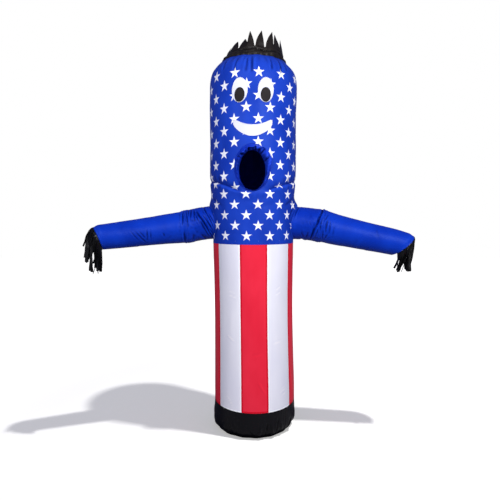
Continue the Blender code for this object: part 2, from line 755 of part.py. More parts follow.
def hand_fringe(name, arm):
    turns = round_angles(HAND_COLUMNS)
    axis = arm_frame(arm, arm["wrist"])[1]
    builder = bmesh.new()

    def ring(step, distance):
        rims = [arm_surface(arm, turn, wrist_reach(arm, turn, distance), distance) for turn in turns]
        return [builder.verts.new(rim + axis * step) for rim in rims]

    near_in, near_out = ring(HAND_BAND[0], -HAND_INSET), ring(HAND_BAND[0], CLOTH - HAND_INSET)
    far_in, far_out = ring(HAND_BAND[1], -HAND_INSET), ring(HAND_BAND[1], CLOTH - HAND_INSET)
    for index, turn in enumerate(turns):
        after = (index + 1) % HAND_COLUMNS
        builder.faces.new((near_in[index], near_in[after], near_out[after], near_out[index]))
        builder.faces.new((near_out[index], near_out[after], far_out[after], far_out[index]))
        builder.faces.new((near_in[index], near_in[after], far_in[after], far_in[index]))
        corners = (far_out[index], far_out[after], far_in[after], far_in[index])
        bare = arm["bare"][0] < math.degrees(turn) < arm["bare"][1]
        if index % 2 == 0 and not bare:
            start = np.mean([np.array(corner.co) for corner in corners], axis=0)
            tangent = np.array(far_out[after].co) - np.array(far_out[index].co)
            outer = np.array(far_out[index].co) - np.array(far_in[index].co)
            tangent = tangent / np.linalg.norm(tangent)
            side = math.copysign(1.0, np.dot(np.cross(axis, tangent), outer))
            middle_turn = turn + math.pi / HAND_COLUMNS
            for middle, across, normal in ribbon_sections(arm, middle_turn, start, tangent):
                normal = normal * side
                places = (middle - across + normal, middle + across + normal,
                          middle + across - normal, middle - across - normal)
                ends = [builder.verts.new(place) for place in places]
                for corner in range(4):
                    beside = (corner + 1) % 4
                    builder.faces.new((corners[corner], corners[beside], ends[beside], ends[corner]))
                corners = ends
        builder.faces.new(corners)
    return piece_from("hand_fringe_" + name, "black_cloth", builder)


# The striped panels and the skirt

def tube_wall(angle, height):
    radius, centre_x = outline(height)
    return np.array((centre_x + radius * math.sin(angle), -radius * math.cos(angle), height))


def panel_seams():
    back = (2 * math.pi - FRONT_PANEL - 2 * SIDE_PANELS * SIDE_PANEL) / BACK_PANELS
    widths = [FRONT_PANEL] + [SIDE_PANEL] * SIDE_PANELS + [back] * BACK_PANELS + [SIDE_PANEL] * SIDE_PANELS
    start = -FRONT_PANEL / 2
    seams = []
    for width in widths:
        seams.append((start, start + width))
        start += width
    return seams


def skirt_seam(angle):
    return SKIRT_HEIGHT - SKIRT_DIP * math.cos(angle)


def striped_panels():
    def spot(angle, share, distance):
        low, high = skirt_seam(angle) + GAP, SEAM_HEIGHT - GAP
        height = low + (high - low) * share
        point = moved_out(tube_wall, angle, height, distance)
        if share in (0.0, 1.0):
            point[2] = height
        return point

    for index, (start, end) in enumerate(panel_seams()):
        colour = "red" if index % 2 == 0 else "white"
        edge = GAP / 2 / outline(SEAM_HEIGHT)[0]
        angles = np.linspace(start + edge, end - edge, PANEL_COLUMNS + 1)
        face = [[spot(angle, share, 0.0) for angle in angles] for share in PANEL_ROWS]
        back = [[spot(angle, share, -CLOTH) for angle in angles] for share in PANEL_ROWS]
        closed_piece(f"{colour}_panel_{index // 2 + 1}", colour + "_cloth", face, back, wrap=False)


def hem_skirt():
    def gather(angle):
        folds = math.sin(SKIRT_GATHERS * angle + 1.4 * math.sin(2 * angle))
        return 0.7 * folds + 0.3 * math.sin(5 * angle + 0.6)

    def ring(row, before, after):
        height, radius, depth, layers = row
        run, rise = before[1] - after[1], before[0] - after[0]
        outward = np.array((rise, -run)) / math.hypot(rise, run)
        centre_x = outline(SKIRT_HEIGHT)[1] * height / SKIRT_HEIGHT
        dip = SKIRT_DIP * max(height - SKIRT_LEVEL, 0.0) / (SKIRT_HEIGHT - SKIRT_LEVEL)
        deep = CLOTH * layers
        face, back = [], []
        for angle in round_angles(SKIRT_COLUMNS):
            wide = radius + depth * (gather(angle) - 1.0)
            level = height - dip * math.cos(angle)
            inner = max(level - outward[1] * deep, 0.0) if height not in (0.0, SKIRT_HEIGHT) else level
            for points, reach, place in ((face, wide, level), (back, wide - outward[0] * deep, inner)):
                points.append(np.array((centre_x + reach * math.sin(angle),
                                        -reach * math.cos(angle), place)))
        return face, back

    rings = []
    for index, row in enumerate(SKIRT_ROWS):
        before = SKIRT_ROWS[max(index - 1, 0)]
        after = SKIRT_ROWS[min(index + 1, len(SKIRT_ROWS) - 1)]
        rings.append(ring(row, before, after))
    return closed_piece("hem_skirt", "black_cloth", [ring[0] for ring in rings],
                        [ring[1] for ring in rings], wrap=True)


def build():
    clear_scene()
    star_tube()
    crown_cap()
    hair_band()
    hood()
    patches()
    mouth()
    for name, arm in ARMS.items():
        upper_sleeve(name, arm)
        forearm(name, arm)
        hand_end(name, arm)
        hand_fringe(name, arm)
    striped_panels()
    hem_skirt()


build()
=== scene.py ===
# A wearable inflatable air dancer: a tall tube of thin nylon in stars and stripes, with sleeves
# that end in black ribbons, a gathered hood, a sewn-on face and spiky hair.
# Metres. The front faces -Y, the hem stands on Z = 0, and angles round the tube run from the
# front towards +X. Left and right are the viewer's.

import math

import bmesh
import bpy
import numpy as np
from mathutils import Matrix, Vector, noise


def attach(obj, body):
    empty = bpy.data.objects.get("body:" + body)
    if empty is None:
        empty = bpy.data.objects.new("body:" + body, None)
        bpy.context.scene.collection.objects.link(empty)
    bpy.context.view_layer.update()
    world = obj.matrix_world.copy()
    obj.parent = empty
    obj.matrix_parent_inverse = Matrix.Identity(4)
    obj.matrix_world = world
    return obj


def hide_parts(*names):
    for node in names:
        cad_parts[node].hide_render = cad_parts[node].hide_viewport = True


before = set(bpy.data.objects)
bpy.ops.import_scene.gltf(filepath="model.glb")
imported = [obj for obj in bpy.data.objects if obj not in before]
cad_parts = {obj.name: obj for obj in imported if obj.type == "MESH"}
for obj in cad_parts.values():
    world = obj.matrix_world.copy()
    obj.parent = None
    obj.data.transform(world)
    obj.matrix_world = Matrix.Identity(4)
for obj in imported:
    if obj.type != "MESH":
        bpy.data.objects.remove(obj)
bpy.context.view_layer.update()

cloth = {
    "thickness": 0.0012,
    "gap": 0.0003,            # between edges that are sewn together
    "lap": 0.0005,            # between layers that lie on each other
    "sharp": math.radians(60),      # edges that stay sharp in the shading
}
ontoAxis = np.array((0.0, 0.0, 1.0))      # times a point: the place beside it on the tube's axis


def ease(amount):
    amount = np.clip(amount, 0.0, 1.0)
    return amount * amount * (3.0 - 2.0 * amount)


def hump(beside, width):
    # 1 in the middle, falling off smoothly on both sides.
    return np.exp(-(beside / width) ** 2)


def pleated(angle, count, sway, slow):
    # Uneven pleats from -1 to 1, so many round a piece.
    return np.sin(count * angle + sway * np.sin(slow * angle))


def unit(vectors):
    return vectors / np.linalg.norm(vectors, axis=-1, keepdims=True)


def unturned(angle):
    return (angle + math.pi) % (2 * math.pi) - math.pi


def readTable(rows, at):
    # The later columns of a table at places in its first column, on smooth curves through its rows.
    table = np.array(rows, dtype=float)
    keys, values = table[:, 0], table[:, 1:]
    last = len(keys) - 1
    before, after = np.maximum(np.arange(last + 1) - 1, 0), np.minimum(np.arange(last + 1) + 1, last)
    slopes = (values[after] - values[before]) / (keys[after] - keys[before])[:, None]
    at = np.asarray(at, dtype=float)
    index = np.clip(np.searchsorted(keys, at) - 1, 0, last - 1)
    step = (keys[index + 1] - keys[index])[..., None]
    share = np.clip((at - keys[index])[..., None] / step, 0.0, 1.0)
    squared, cubed = share ** 2, share ** 3
    found = ((2 * cubed - 3 * squared + 1) * values[index]
             + (cubed - 2 * squared + share) * slopes[index] * step
             + (3 * squared - 2 * cubed) * values[index + 1]
             + (cubed - squared) * slopes[index + 1] * step)
    return [found[..., column] for column in range(values.shape[1])]


def crumple(points, scale, seed):
    # Smooth noise from -1 to 1 at each point, at so many waves a metre each way.
    flat = (points * np.array(scale) + 13.7 * seed).reshape(-1, 3)
    return np.array([noise.noise(place) for place in flat.tolist()]).reshape(points.shape[:-1])


def slackOf(points, layers):
    # Loose rumples of a cloth: waves a metre each way, seed and depth of each layer.
    return sum(crumple(points, scale, seed) * depth for scale, seed, depth in layers)


def foldsAround(angle, up, folds, radius):
    # Soft creases on a round piece, each a ridge with a shallower trough beside it, or the other way up.
    total = np.zeros(np.broadcast(angle, up).shape)
    for degrees, height, direction, halfLength, halfWidth, rise, bow in folds:
        sideways = unturned(angle - math.radians(degrees)) * radius
        turn = math.radians(direction)
        along = sideways * math.cos(turn) + (up - height) * math.sin(turn)
        beside = (up - height) * math.cos(turn) - sideways * math.sin(turn) - bow * along ** 2
        shape = hump(beside, halfWidth) - 0.5 * hump(beside - 1.8 * halfWidth, 1.1 * halfWidth)
        total += rise * shape * np.exp(-(along / halfLength) ** 4)
    return total


def lifted(surface, across, along, distance, step=1e-4):
    # Points of a surface, moved out along its normals.
    over = surface(across + step, along) - surface(across - step, along)
    up = surface(across, along + step) - surface(across, along - step)
    normal = unit(np.cross(over, up))
    return surface(across, along) + normal * distance, normal


def roundPlaces(angle, radius, height, centreX=0.0):
    return np.stack((centreX + radius * np.sin(angle), -radius * np.cos(angle), height), axis=-1)


def pushOut(points, angle, amount):
    points[..., 0] += amount * np.sin(angle)
    points[..., 1] -= amount * np.cos(angle)
    return points


def asArrays(*values):
    return np.broadcast_arrays(*[np.asarray(value, dtype=float) for value in values])


def roundAngles(count, closed=False):
    return np.linspace(-math.pi, math.pi, count + 1)[:count + 1 if closed else count]


def bothRounds(count):
    # Angles of the points once round a piece, and of its map, which needs the first one again.
    return roundAngles(count), roundAngles(count, closed=True)


def foldShadingMap(face, normal, wrap, reach=2, deep=0.0030):
    # How deep in a fold each point lies, and how far out on a ridge, both from 0 to 1: where the cloth is
    # given painted shade and a painted highlight.
    around = "wrap" if wrap else "edge"
    wide = np.pad(face, ((0, 0), (reach, reach), (0, 0)), mode=around)
    tall = np.pad(face, ((reach, reach), (0, 0), (0, 0)), mode="edge")
    across = np.sum(((wide[:, 2 * reach:] + wide[:, :-2 * reach]) / 2 - face) * normal, axis=-1)
    up = np.sum(((tall[2 * reach:] + tall[:-2 * reach]) / 2 - face) * normal, axis=-1)
    up[:reach], up[-reach:] = np.median(up), np.median(up)
    if not wrap:
        across[:, :reach], across[:, -reach:] = np.median(across), np.median(across)
    depth = across - np.median(across) + up - np.median(up)
    found = np.stack((ease(depth / deep), ease(-depth / deep)), axis=-1)
    return np.concatenate((found, found[:, :1]), axis=1) if wrap else found


def sheetPiece(name, face, material, maps, inside=None, wrap=False, pole=False,
               thickness=cloth["thickness"], paintedShade=0.0):
    # A closed thin sheet behind a grid of points, once round it with wrap, from a middle point with pole.
    # inside is a point or points on its back side, or else the tube's axis. The last argument is painted
    # shade, which darkens the cloth.
    rows, columns = face.shape[:2]
    inside = face * ontoAxis if inside is None else inside
    spans = columns if wrap else columns - 1
    over = np.roll(face, -1, 1) - np.roll(face, 1, 1) if wrap else np.gradient(face, axis=1)
    normal = np.cross(over, np.gradient(face, axis=0))
    if pole:
        normal[0] = normal[1].mean(axis=0)
    normal = unit(normal)
    turnedIn = np.sum(normal * (face - inside)) < 0.0
    normal = -normal if turnedIn else normal
    back = face - normal * thickness
    # The cloth is painted darker deep in its folds and lighter out on its ridges: painted shade and a painted
    # highlight.
    maps = dict(maps, hollow=foldShadingMap(face, normal, wrap))
    maps["hollow"][:, :columns, 0] = np.maximum(maps["hollow"][:, :columns, 0], paintedShade)
    if wrap:
        maps["hollow"][:, -1] = maps["hollow"][:, 0]

    # Faces by the rows, columns and sides (0 front, 1 back) of their corners: front, back and the edges.
    row, column = np.divmod(np.arange((rows - 1) * spans), spans)
    line, last = np.arange(spans), np.full(spans, rows - 1)
    upward, none = np.arange(rows - 1), np.zeros(rows - 1, dtype=int)
    end = np.full(rows - 1, columns - 1)
    corners = [((row, row, row + 1, row + 1), (column, column + 1, column + 1, column), (0, 0, 0, 0)),
               ((row + 1, row + 1, row, row), (column, column + 1, column + 1, column), (1, 1, 1, 1)),
               ((last,) * 4, (line, line + 1, line + 1, line), (0, 0, 1, 1))]
    if not pole:
        corners.append(((0 * line,) * 4, (line + 1, line, line, line + 1), (0, 0, 1, 1)))
    if not wrap:
        corners.append(((upward, upward + 1, upward + 1, upward), (none,) * 4, (0, 0, 1, 1)))
        corners.append(((upward + 1, upward, upward, upward + 1), (end,) * 4, (0, 0, 1, 1)))
    cornerRows = np.concatenate([np.stack(each[0], 1) for each in corners])
    cornerColumns = np.concatenate([np.stack(each[1], 1) for each in corners])
    sides = np.concatenate([np.tile(each[2], (len(each[0][0]), 1)) for each in corners])
    if turnedIn:
        cornerRows, cornerColumns, sides = cornerRows[:, ::-1], cornerColumns[:, ::-1], sides[:, ::-1]
    faces = sides * rows * columns + cornerRows * columns + cornerColumns % columns
    mesh = bpy.data.meshes.new(name)
    mesh.from_pydata(np.concatenate((face.reshape(-1, 3), back.reshape(-1, 3))).tolist(), [], faces.tolist())
    for mapName, places in maps.items():
        layer = mesh.uv_layers.new(name=mapName)
        placed = places[cornerRows, cornerColumns].astype(np.float32)
        if mapName == "print":
            placed[sides.min(axis=1) == 1, :, 1] += 100.0      # no print on the back
        layer.data.foreach_set("uv", placed.ravel())
    if pole:
        builder = bmesh.new()
        builder.from_mesh(mesh)
        bmesh.ops.remove_doubles(builder, verts=builder.verts, dist=1e-6)
        builder.to_mesh(mesh)
        builder.free()
    return addPiece(name, mesh, material)


def addPiece(name, mesh, material):
    mesh.shade_smooth()
    mesh.set_sharp_from_angle(angle=cloth["sharp"])
    if material:
        mesh.materials.clear()
        mesh.materials.append(material)
    piece = bpy.data.objects.new(name, mesh)
    bpy.context.scene.collection.objects.link(piece)
    return piece


def frozen(piece, name, material):
    # A plain mesh of a piece with its modifiers, in place of it.
    graph = bpy.context.evaluated_depsgraph_get()
    mesh = bpy.data.meshes.new_from_object(piece.evaluated_get(graph), depsgraph=graph)
    bpy.data.objects.remove(piece, do_unlink=True)
    return addPiece(name, mesh, material)


def cutBy(piece, cutters):
    # The piece with the cutters' shapes taken out of it, and the cutters gone.
    for cutter in cutters:
        hole = piece.modifiers.new(cutter.name, "BOOLEAN")
        hole.operation, hole.solver, hole.object = "DIFFERENCE", "EXACT", cutter
    material = piece.data.materials[0]
    name = piece.name
    piece.name = name + "Whole"
    done = frozen(piece, name, material)
    for cutter in cutters:
        bpy.data.objects.remove(cutter, do_unlink=True)
    return done


def plug(name, rings):
    # A closed solid through rings of points.
    builder = bmesh.new()
    made = [[builder.verts.new(point) for point in ring] for ring in rings]
    count = len(made[0])
    for lower, upper in zip(made, made[1:]):
        for column in range(count):
            after = (column + 1) % count
            builder.faces.new((lower[column], lower[after], upper[after], upper[column]))
    builder.faces.new(made[0])
    builder.faces.new(made[-1])
    bmesh.ops.recalc_face_normals(builder, faces=builder.faces)
    mesh = bpy.data.meshes.new(name)
    builder.to_mesh(mesh)
    builder.free()
    for mapName in ("print", "cloth", "hollow"):
        mesh.uv_layers.new(name=mapName)
    return addPiece(name, mesh, None)


def standsFor(piece, node, slot):
    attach(piece, "root")
    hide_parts(node)
    return piece


# Finishes

def paint(red, green, blue):
    # A screen colour from 0 to 255, as the shader takes it.
    def linear(value):
        value = value / 255
        return value / 12.92 if value <= 0.04045 else ((value + 0.055) / 1.055) ** 2.4
    return linear(red), linear(green), linear(blue), 1.0


class NodeBench:
    # Short ways to add nodes to one tree.
    def __init__(self, tree):
        self.tree = tree

    def add(self, kind, inputs, output=0, **settings):
        node = self.tree.nodes.new(kind)
        for key, value in settings.items():
            setattr(node, key, value)
        self.feed(node, inputs)
        return node.outputs[output] if node.outputs else None

    def feed(self, node, inputs):
        for key, value in inputs.items():
            value = value.socket if isinstance(value, Value) else value
            if isinstance(value, bpy.types.NodeSocket):
                self.tree.links.new(value, node.inputs[key])
            else:
                node.inputs[key].default_value = value


class Value:
    # A number from a node, so that sums of nodes can be written as plain sums.
    def __init__(self, bench, socket):
        self.bench, self.socket = bench, socket

    def __add__(self, other):
        return self.bench.math("ADD", self, other)

    def __sub__(self, other):
        return self.bench.math("SUBTRACT", self, other)

    def __rsub__(self, other):
        return self.bench.math("SUBTRACT", other, self)

    def __mul__(self, other):
        return self.bench.math("MULTIPLY", self, other)


class FinishBench(NodeBench):
    # The nodes of one material.
    def __init__(self, name):
        self.material = bpy.data.materials.new(name)
        self.material.use_nodes = True
        super().__init__(self.material.node_tree)

    def finish(self, inputs):
        self.feed(self.tree.nodes["Principled BSDF"], inputs)
        return self.material

    def math(self, operation, *values):
        return Value(self, self.add("ShaderNodeMath", dict(enumerate(values)), operation=operation))

    def mix(self, amount, first, second, blend="MIX"):
        return self.add("ShaderNodeMix", {0: amount, 6: first, 7: second}, output=2, data_type="RGBA",
                        blend_type=blend)

    def within(self, value, low, high):
        # 0 at low, 1 at high, smooth between.
        return Value(self, self.add("ShaderNodeMapRange", {0: value, 1: low, 2: high, 3: 0.0, 4: 1.0},
                                    interpolation_type="SMOOTHSTEP"))

    def uv(self, name):
        found = self.add("ShaderNodeUVMap", {}, uv_map=name)
        across, up, _ = self.add("ShaderNodeSeparateXYZ", {0: found}).node.outputs
        return found, Value(self, across), Value(self, up)

    def noise(self, vector, scale, detail=2.0, stretch=(1.0, 1.0, 1.0), rough=0.5):
        placed = self.add("ShaderNodeMapping", {"Vector": vector, "Scale": stretch})
        return Value(self, self.add("ShaderNodeTexNoise", {
            "Vector": placed, "Scale": scale, "Detail": detail, "Roughness": rough}, noise_dimensions="3D"))


nylon = {
    "weave": 0.0011,          # from thread to thread
    "weaveDepth": 0.00004,
    "roughness": 0.42,
    "uneven": 0.14,           # how much the roughness changes from place to place
    "gloss": 0.14,
    "ridgeHighlight": (1.25, 1.2, 1.1, 1.0),       # painted highlight: how much brighter the cloth is painted on a ridge
}


def nylonFinish(name, colour, shade, crinkle=(0.0016, 24.0, (1.0, 0.55, 1.0)), prints=None,
                roughness=nylon["roughness"], gloss=nylon["gloss"], folded=0.35, tint=(1.0, 1.0, 1.0, 1.0)):
    # Woven nylon: threads, fine crinkles, and a cloudy colour between the colour and its shade.
    # crinkle is the depth, scale and stretch of the crinkles; folded is how dark the painted shade makes the
    # cloth in a fold.
    bench = FinishBench(name)
    uv, across, up = bench.uv("cloth")
    cloudy = bench.noise(uv, 5.0, 3.0, (1.0, 0.5, 1.0))
    base = bench.mix(bench.within(cloudy, 0.35, 0.65), colour, shade)
    if prints:
        base = prints(bench, base)
    # Painted shade deep in the folds and a painted highlight on the ridges.
    _, hollow, ridgeHighlight = bench.uv("hollow")
    for amount, tone in ((hollow, (folded, folded, folded * 1.1, 1.0)), (ridgeHighlight, nylon["ridgeHighlight"])):
        base = bench.mix(amount, base, bench.mix(1.0, base, tone, blend="MULTIPLY"))
    uneven = nylon["uneven"]
    shine = bench.math("MULTIPLY_ADD", bench.noise(uv, 60.0, 2.0), uneven, roughness - uneven / 2)
    depth, scale, stretch = crinkle
    turns = 2 * math.pi / nylon["weave"]
    weave = bench.math("SINE", across * turns) * bench.math("SINE", up * turns) * nylon["weaveDepth"]
    ridged = bench.math("ABSOLUTE", bench.noise(uv, scale, 3.0, stretch, 0.55) - 0.5)
    height = bench.math("MULTIPLY_ADD", ridged, -depth, weave)
    bump = bench.add("ShaderNodeBump", {"Strength": 1.0, "Distance": 1.0, "Height": height})
    return bench.finish({"Base Color": base, "Roughness": shine, "Specular IOR Level": gloss,
                         "Specular Tint": tint, "Normal": bump})


starPrint = {
    "across": 0.0660,       # half of the way from star to star in a row
    "up": 0.0603,           # from row to row
    "radius": 0.0312,
    "waist": 0.385,         # inner corners, as a share of the radius
    "softness": 0.0011,
    "rows": (-0.5, 15.5),
    "leftOut": (1.0, 10.0),       # the place just under the face opening, where the cloth turns in
    "white": paint(238, 239, 249),
}


def starsOn(bench, base):
    # Rows of five-pointed stars, every other row moved over by half a step.
    _, over, down = bench.uv("print")
    column, row = (over - 1.0 + down) * 0.5, (over - 1.0 - down) * 0.5
    column, row = column - bench.math("ROUND", column), row - bench.math("ROUND", row)
    x, y = (column + row) * starPrint["across"], (row - column) * starPrint["up"]
    # The ten halves of a star's points are alike, so one straight edge makes it.
    fifth = 2 * math.pi / 5
    turn = bench.math("FRACT", bench.math("DIVIDE", bench.math("ARCTAN2", x, y), fifth) + 10.5)
    folded = bench.math("ABSOLUTE", turn - 0.5) * fifth
    reach = bench.math("SQRT", x * x + y * y)
    ahead, beside = reach * bench.math("COSINE", folded), reach * bench.math("SINE", folded)
    tip, corner = starPrint["radius"], starPrint["radius"] * starPrint["waist"]
    cornerX, cornerY = corner * math.cos(fifth / 2), corner * math.sin(fifth / 2)
    edge = math.hypot(cornerX - tip, cornerY)
    inward = beside * ((cornerX - tip) / edge) + bench.math(
        "MULTIPLY_ADD", ahead, -cornerY / edge, tip * cornerY / edge)
    star = bench.within(inward, -starPrint["softness"], starPrint["softness"])
    first, last = starPrint["rows"]
    star = star * bench.math("GREATER_THAN", down, first) * bench.math("LESS_THAN", down, last)
    sideways, upright = [bench.math("ABSOLUTE", value - place)
                         for value, place in zip((over, down), starPrint["leftOut"])]
    away = bench.math("GREATER_THAN", bench.math("MAXIMUM", sideways, upright), 0.8)
    return bench.mix(star * away, base, starPrint["white"])


seamBands = {
    "width": 0.0085,        # of the seam allowance that shows through
    "line": 0.0010,
}


def panelBands(band, line):
    # The seam allowance along the edges of a panel, and the line where it ends.
    def prints(bench, base):
        _, fromSide, fromEnd = bench.uv("margin")
        nearest = bench.math("MINIMUM", fromSide, fromEnd)
        width, fine = seamBands["width"], seamBands["line"]
        inBand = 1.0 - bench.within(nearest, width - fine, width + fine)
        onLine = 1.0 - bench.within(bench.math("ABSOLUTE", nearest - width), 0.0, fine)
        return bench.mix(onLine, bench.mix(inBand, base, band), line)
    return prints


satin = (0.40, 0.62, 1.0, 1.0)      # what the blue cloth gives back
# folded sets how dark each finish is painted in its folds: painted shade.
finishes = {
    "stars": nylonFinish("starNylon", paint(26, 62, 180), paint(19, 52, 164), prints=starsOn, folded=0.45,
                         tint=satin),
    "blue": nylonFinish("blueNylon", paint(10, 53, 178), paint(6, 43, 160), (0.0022, 18.0, (1.0, 0.7, 1.0)),
                        folded=0.30, tint=satin),
    "hood": nylonFinish("hoodNylon", paint(27, 60, 192), paint(14, 43, 164), (0.0026, 24.0, (1.0, 0.7, 1.0)),
                        folded=0.24, tint=satin),
    "red": nylonFinish("redNylon", paint(232, 46, 68), paint(224, 38, 60), (0.0006, 14.0, (1.0, 0.45, 1.0)),
                       prints=panelBands(paint(210, 20, 42), paint(176, 8, 28)), folded=0.7,
                       tint=(1.0, 0.20, 0.26, 1.0)),
    "white": nylonFinish("whiteNylon", paint(232, 231, 240), paint(226, 225, 237),
                         (0.0006, 14.0, (1.0, 0.45, 1.0)),
                         prints=panelBands(paint(246, 247, 252), paint(204, 204, 224)), folded=0.8),
    "black": nylonFinish("blackNylon", paint(9, 8, 12), paint(5, 4, 7), (0.0030, 16.0, (1.0, 0.5, 1.0)),
                         roughness=0.36, gloss=0.26, folded=0.4),
    "ribbon": nylonFinish("blackRibbon", paint(9, 9, 10), paint(4, 4, 5), (0.0010, 60.0, (1.0, 0.3, 1.0)),
                          roughness=0.32, gloss=0.22),
    "hair": nylonFinish("hairSatin", paint(29, 25, 23), paint(14, 11, 10), (0.0034, 20.0, (1.0, 0.7, 1.0)),
                        roughness=0.44, gloss=0.17, folded=0.30),
    "eyeWhite": nylonFinish("whiteFelt", paint(220, 221, 236), paint(211, 212, 229),
                            (0.0004, 90.0, (1.0, 1.0, 1.0)), roughness=0.62, folded=0.8),
    "pupil": nylonFinish("blackFelt", paint(34, 28, 30), paint(24, 19, 22), (0.0004, 90.0, (1.0, 1.0, 1.0)),
                         roughness=0.60),
}


def threadFinish(name, colour):
    bench = FinishBench(name)
    cloudy = bench.noise(bench.add("ShaderNodeTexCoord", {}, output=3), 120.0)
    darker = tuple(0.75 * value for value in colour[:3]) + (1.0,)
    return bench.finish({"Base Color": bench.mix(cloudy, darker, colour), "Roughness": 0.5})


threads = {name: threadFinish(name + "Thread", paint(*colour)) for name, colour in (
    ("blue", (30, 52, 150)), ("white", (250, 250, 252)), ("black", (14, 13, 14)), ("red", (176, 18, 34)))}
print("finishes made")


# The tube

tube = {
    "outline": (
        # height, radius, centre x
        (0.150, 0.2379, 0.0070), (0.260, 0.2372, 0.0065), (0.455, 0.2334, 0.0040), (0.755, 0.2311, 0.0006),
        (1.060, 0.2344, -0.0015), (1.200, 0.2368, -0.0030), (1.344, 0.2402, -0.0048),
        (1.400, 0.2446, -0.0040), (1.460, 0.2490, -0.0040), (1.620, 0.2486, -0.0035),
        (1.853, 0.2493, -0.0025), (1.945, 0.2502, 0.0), (1.995, 0.2492, 0.0), (2.030, 0.2440, 0.0),
        (2.058, 0.2335, 0.0), (2.086, 0.2120, 0.0), (2.116, 0.1840, 0.0),
    ),
    "seam": 1.095,            # star cloth above, striped panels below
    "domeStart": 2.000,
    "topLift": 0.006, "topTilt": 0.009,
    "seamDrop": (0.005, -0.006),     # how much lower the top seam is sewn: at the front, and more at +X
    "pucker": 0.0012, "topGathers": 0.0016, "seamGathers": 0.0007,
    "topPleats": (31, 1.7, 3),       # count, sway and how often: the same for all that meets at the top seam
    "paintedShade": 0.42,          # how much painted shade darkens the cloth just below the hair
    "round": 0.24,            # radius by which its creases and maps are laid out
    "slack": (((7.0, 7.0, 4.0), 1, 0.0022), ((17.0, 17.0, 9.0), 2, 0.0011)),
    "columns": 232, "lines": (44, 22, 82, 28),
}
crease = {
    "front": 1.380, "rise": 0.068, "spread": math.radians(42),
    "depth": 0.014, "halfWidths": (0.009, 0.019), "lip": 0.004,      # widths below the fold, and above
    "ripple": 0.0022,         # how unevenly it runs
    "bulge": 0.005,           # of the cloth below its middle
    "gathers": 0.0021,        # puckers above and below the fold
}


def outlineAt(height):
    return readTable(tube["outline"], height)


topHeight, topRadius, _ = tube["outline"][-1]
domeHeights = np.linspace(tube["domeStart"], topHeight, 60)
domeSteps = np.hypot(np.diff(domeHeights), np.diff(outlineAt(domeHeights)[0]))
domeStations = tube["domeStart"] + np.concatenate(([0.0], np.cumsum(domeSteps)))
topStation = float(domeStations[-1])


def heightOf(station):
    return np.where(station <= tube["domeStart"], station, np.interp(station, domeStations, domeHeights))


def creaseHeight(angle):
    return crease["front"] + crease["rise"] * (1.0 - hump(unturned(angle), crease["spread"]))


def creaseStrength(angle):
    turn = np.abs(unturned(angle))
    behind = 1.0 - 0.6 * ease((turn - math.radians(105)) / math.radians(50))
    return ease((turn - math.radians(9)) / math.radians(22)) * behind


starFolds = {
    # angle in degrees, height, direction, half length, half width, rise, bow
    "drawn": (
        (-9.4, 2.062, 86, 0.046, 0.0050, -0.0066, 0.0), (-3.2, 2.058, 93, 0.050, 0.0050, -0.0062, 0.0),
        (0.8, 2.066, 90, 0.040, 0.0060, 0.0036, 0.0), (-25.0, 2.060, 88, 0.044, 0.0060, -0.0052, 0.0),
        (24.4, 2.066, 86, 0.038, 0.0055, -0.0050, 0.0), (38.0, 2.056, 80, 0.044, 0.0060, -0.0058, 0.0),
        (48.0, 2.070, 88, 0.034, 0.0055, -0.0036, 0.0), (-44.0, 2.070, 94, 0.034, 0.0060, -0.0044, 0.0),
        (-58.0, 2.070, 90, 0.036, 0.0060, -0.0030, 0.0), (64.0, 2.070, 92, 0.036, 0.0060, -0.0028, 0.0),
    ),
    "soft": (
        (-64.0, 1.560, 74, 0.120, 0.022, 0.0022, 0.3), (-42.0, 1.640, 98, 0.100, 0.018, -0.0014, 0.2),
        (48.0, 1.590, 104, 0.110, 0.020, 0.0018, -0.2), (70.0, 1.720, 88, 0.120, 0.020, -0.0016, 0.0),
        (34.0, 1.250, 80, 0.080, 0.020, 0.0014, 0.3), (-36.0, 1.260, 100, 0.080, 0.020, 0.0014, -0.3),
        (8.0, 1.300, 12, 0.090, 0.014, -0.0012, 0.4), (-20.0, 1.180, 170, 0.090, 0.016, 0.0012, 0.2),
        (58.0, 1.330, 24, 0.050, 0.010, -0.0022, 0.8), (-58.0, 1.330, 156, 0.050, 0.010, -0.0022, -0.8),
    ),
    # falls from the folds over the shoulders to the armholes
    "arm": (
        (-66.0, 1.270, 118, 0.036, 0.007, 0.0026, 1.5), (-70.0, 1.300, 140, 0.030, 0.006, -0.0022, 1.0),
        (66.0, 1.268, 62, 0.036, 0.007, 0.0026, -1.5), (71.0, 1.298, 40, 0.030, 0.006, -0.0022, -1.0),
        (-64.0, 1.150, 60, 0.034, 0.007, -0.0018, 0.5), (65.0, 1.148, 120, 0.034, 0.007, -0.0018, 0.5),
    ),
}


shoulders = {
    "reach": 0.230, "radius": 0.236,      # where the sleeve and the tube are measured for it
    "fade": 0.032,
}


def shoulder(angle, height):
    # The star cloth is drawn out to the sleeve above each armhole.
    out = np.zeros(np.broadcast(angle, height).shape)
    for arm in arms.values():
        forward, centre, radius = [float(value) for value in readTable(arm["rows"], shoulders["reach"])]
        across = forward - shoulders["radius"] * np.cos(angle)
        above = height - centre
        distance = np.hypot(across, above)
        lift = np.maximum(above / np.maximum(distance, 1e-6), 0.0) ** 1.5
        near = hump(np.maximum(distance - radius, 0.0), shoulders["fade"])
        here = arm["shoulder"] * lift * near * ease(distance / radius)
        out += np.where(np.sin(angle) * arm["side"] > 0.0, here, 0.0)
    return out


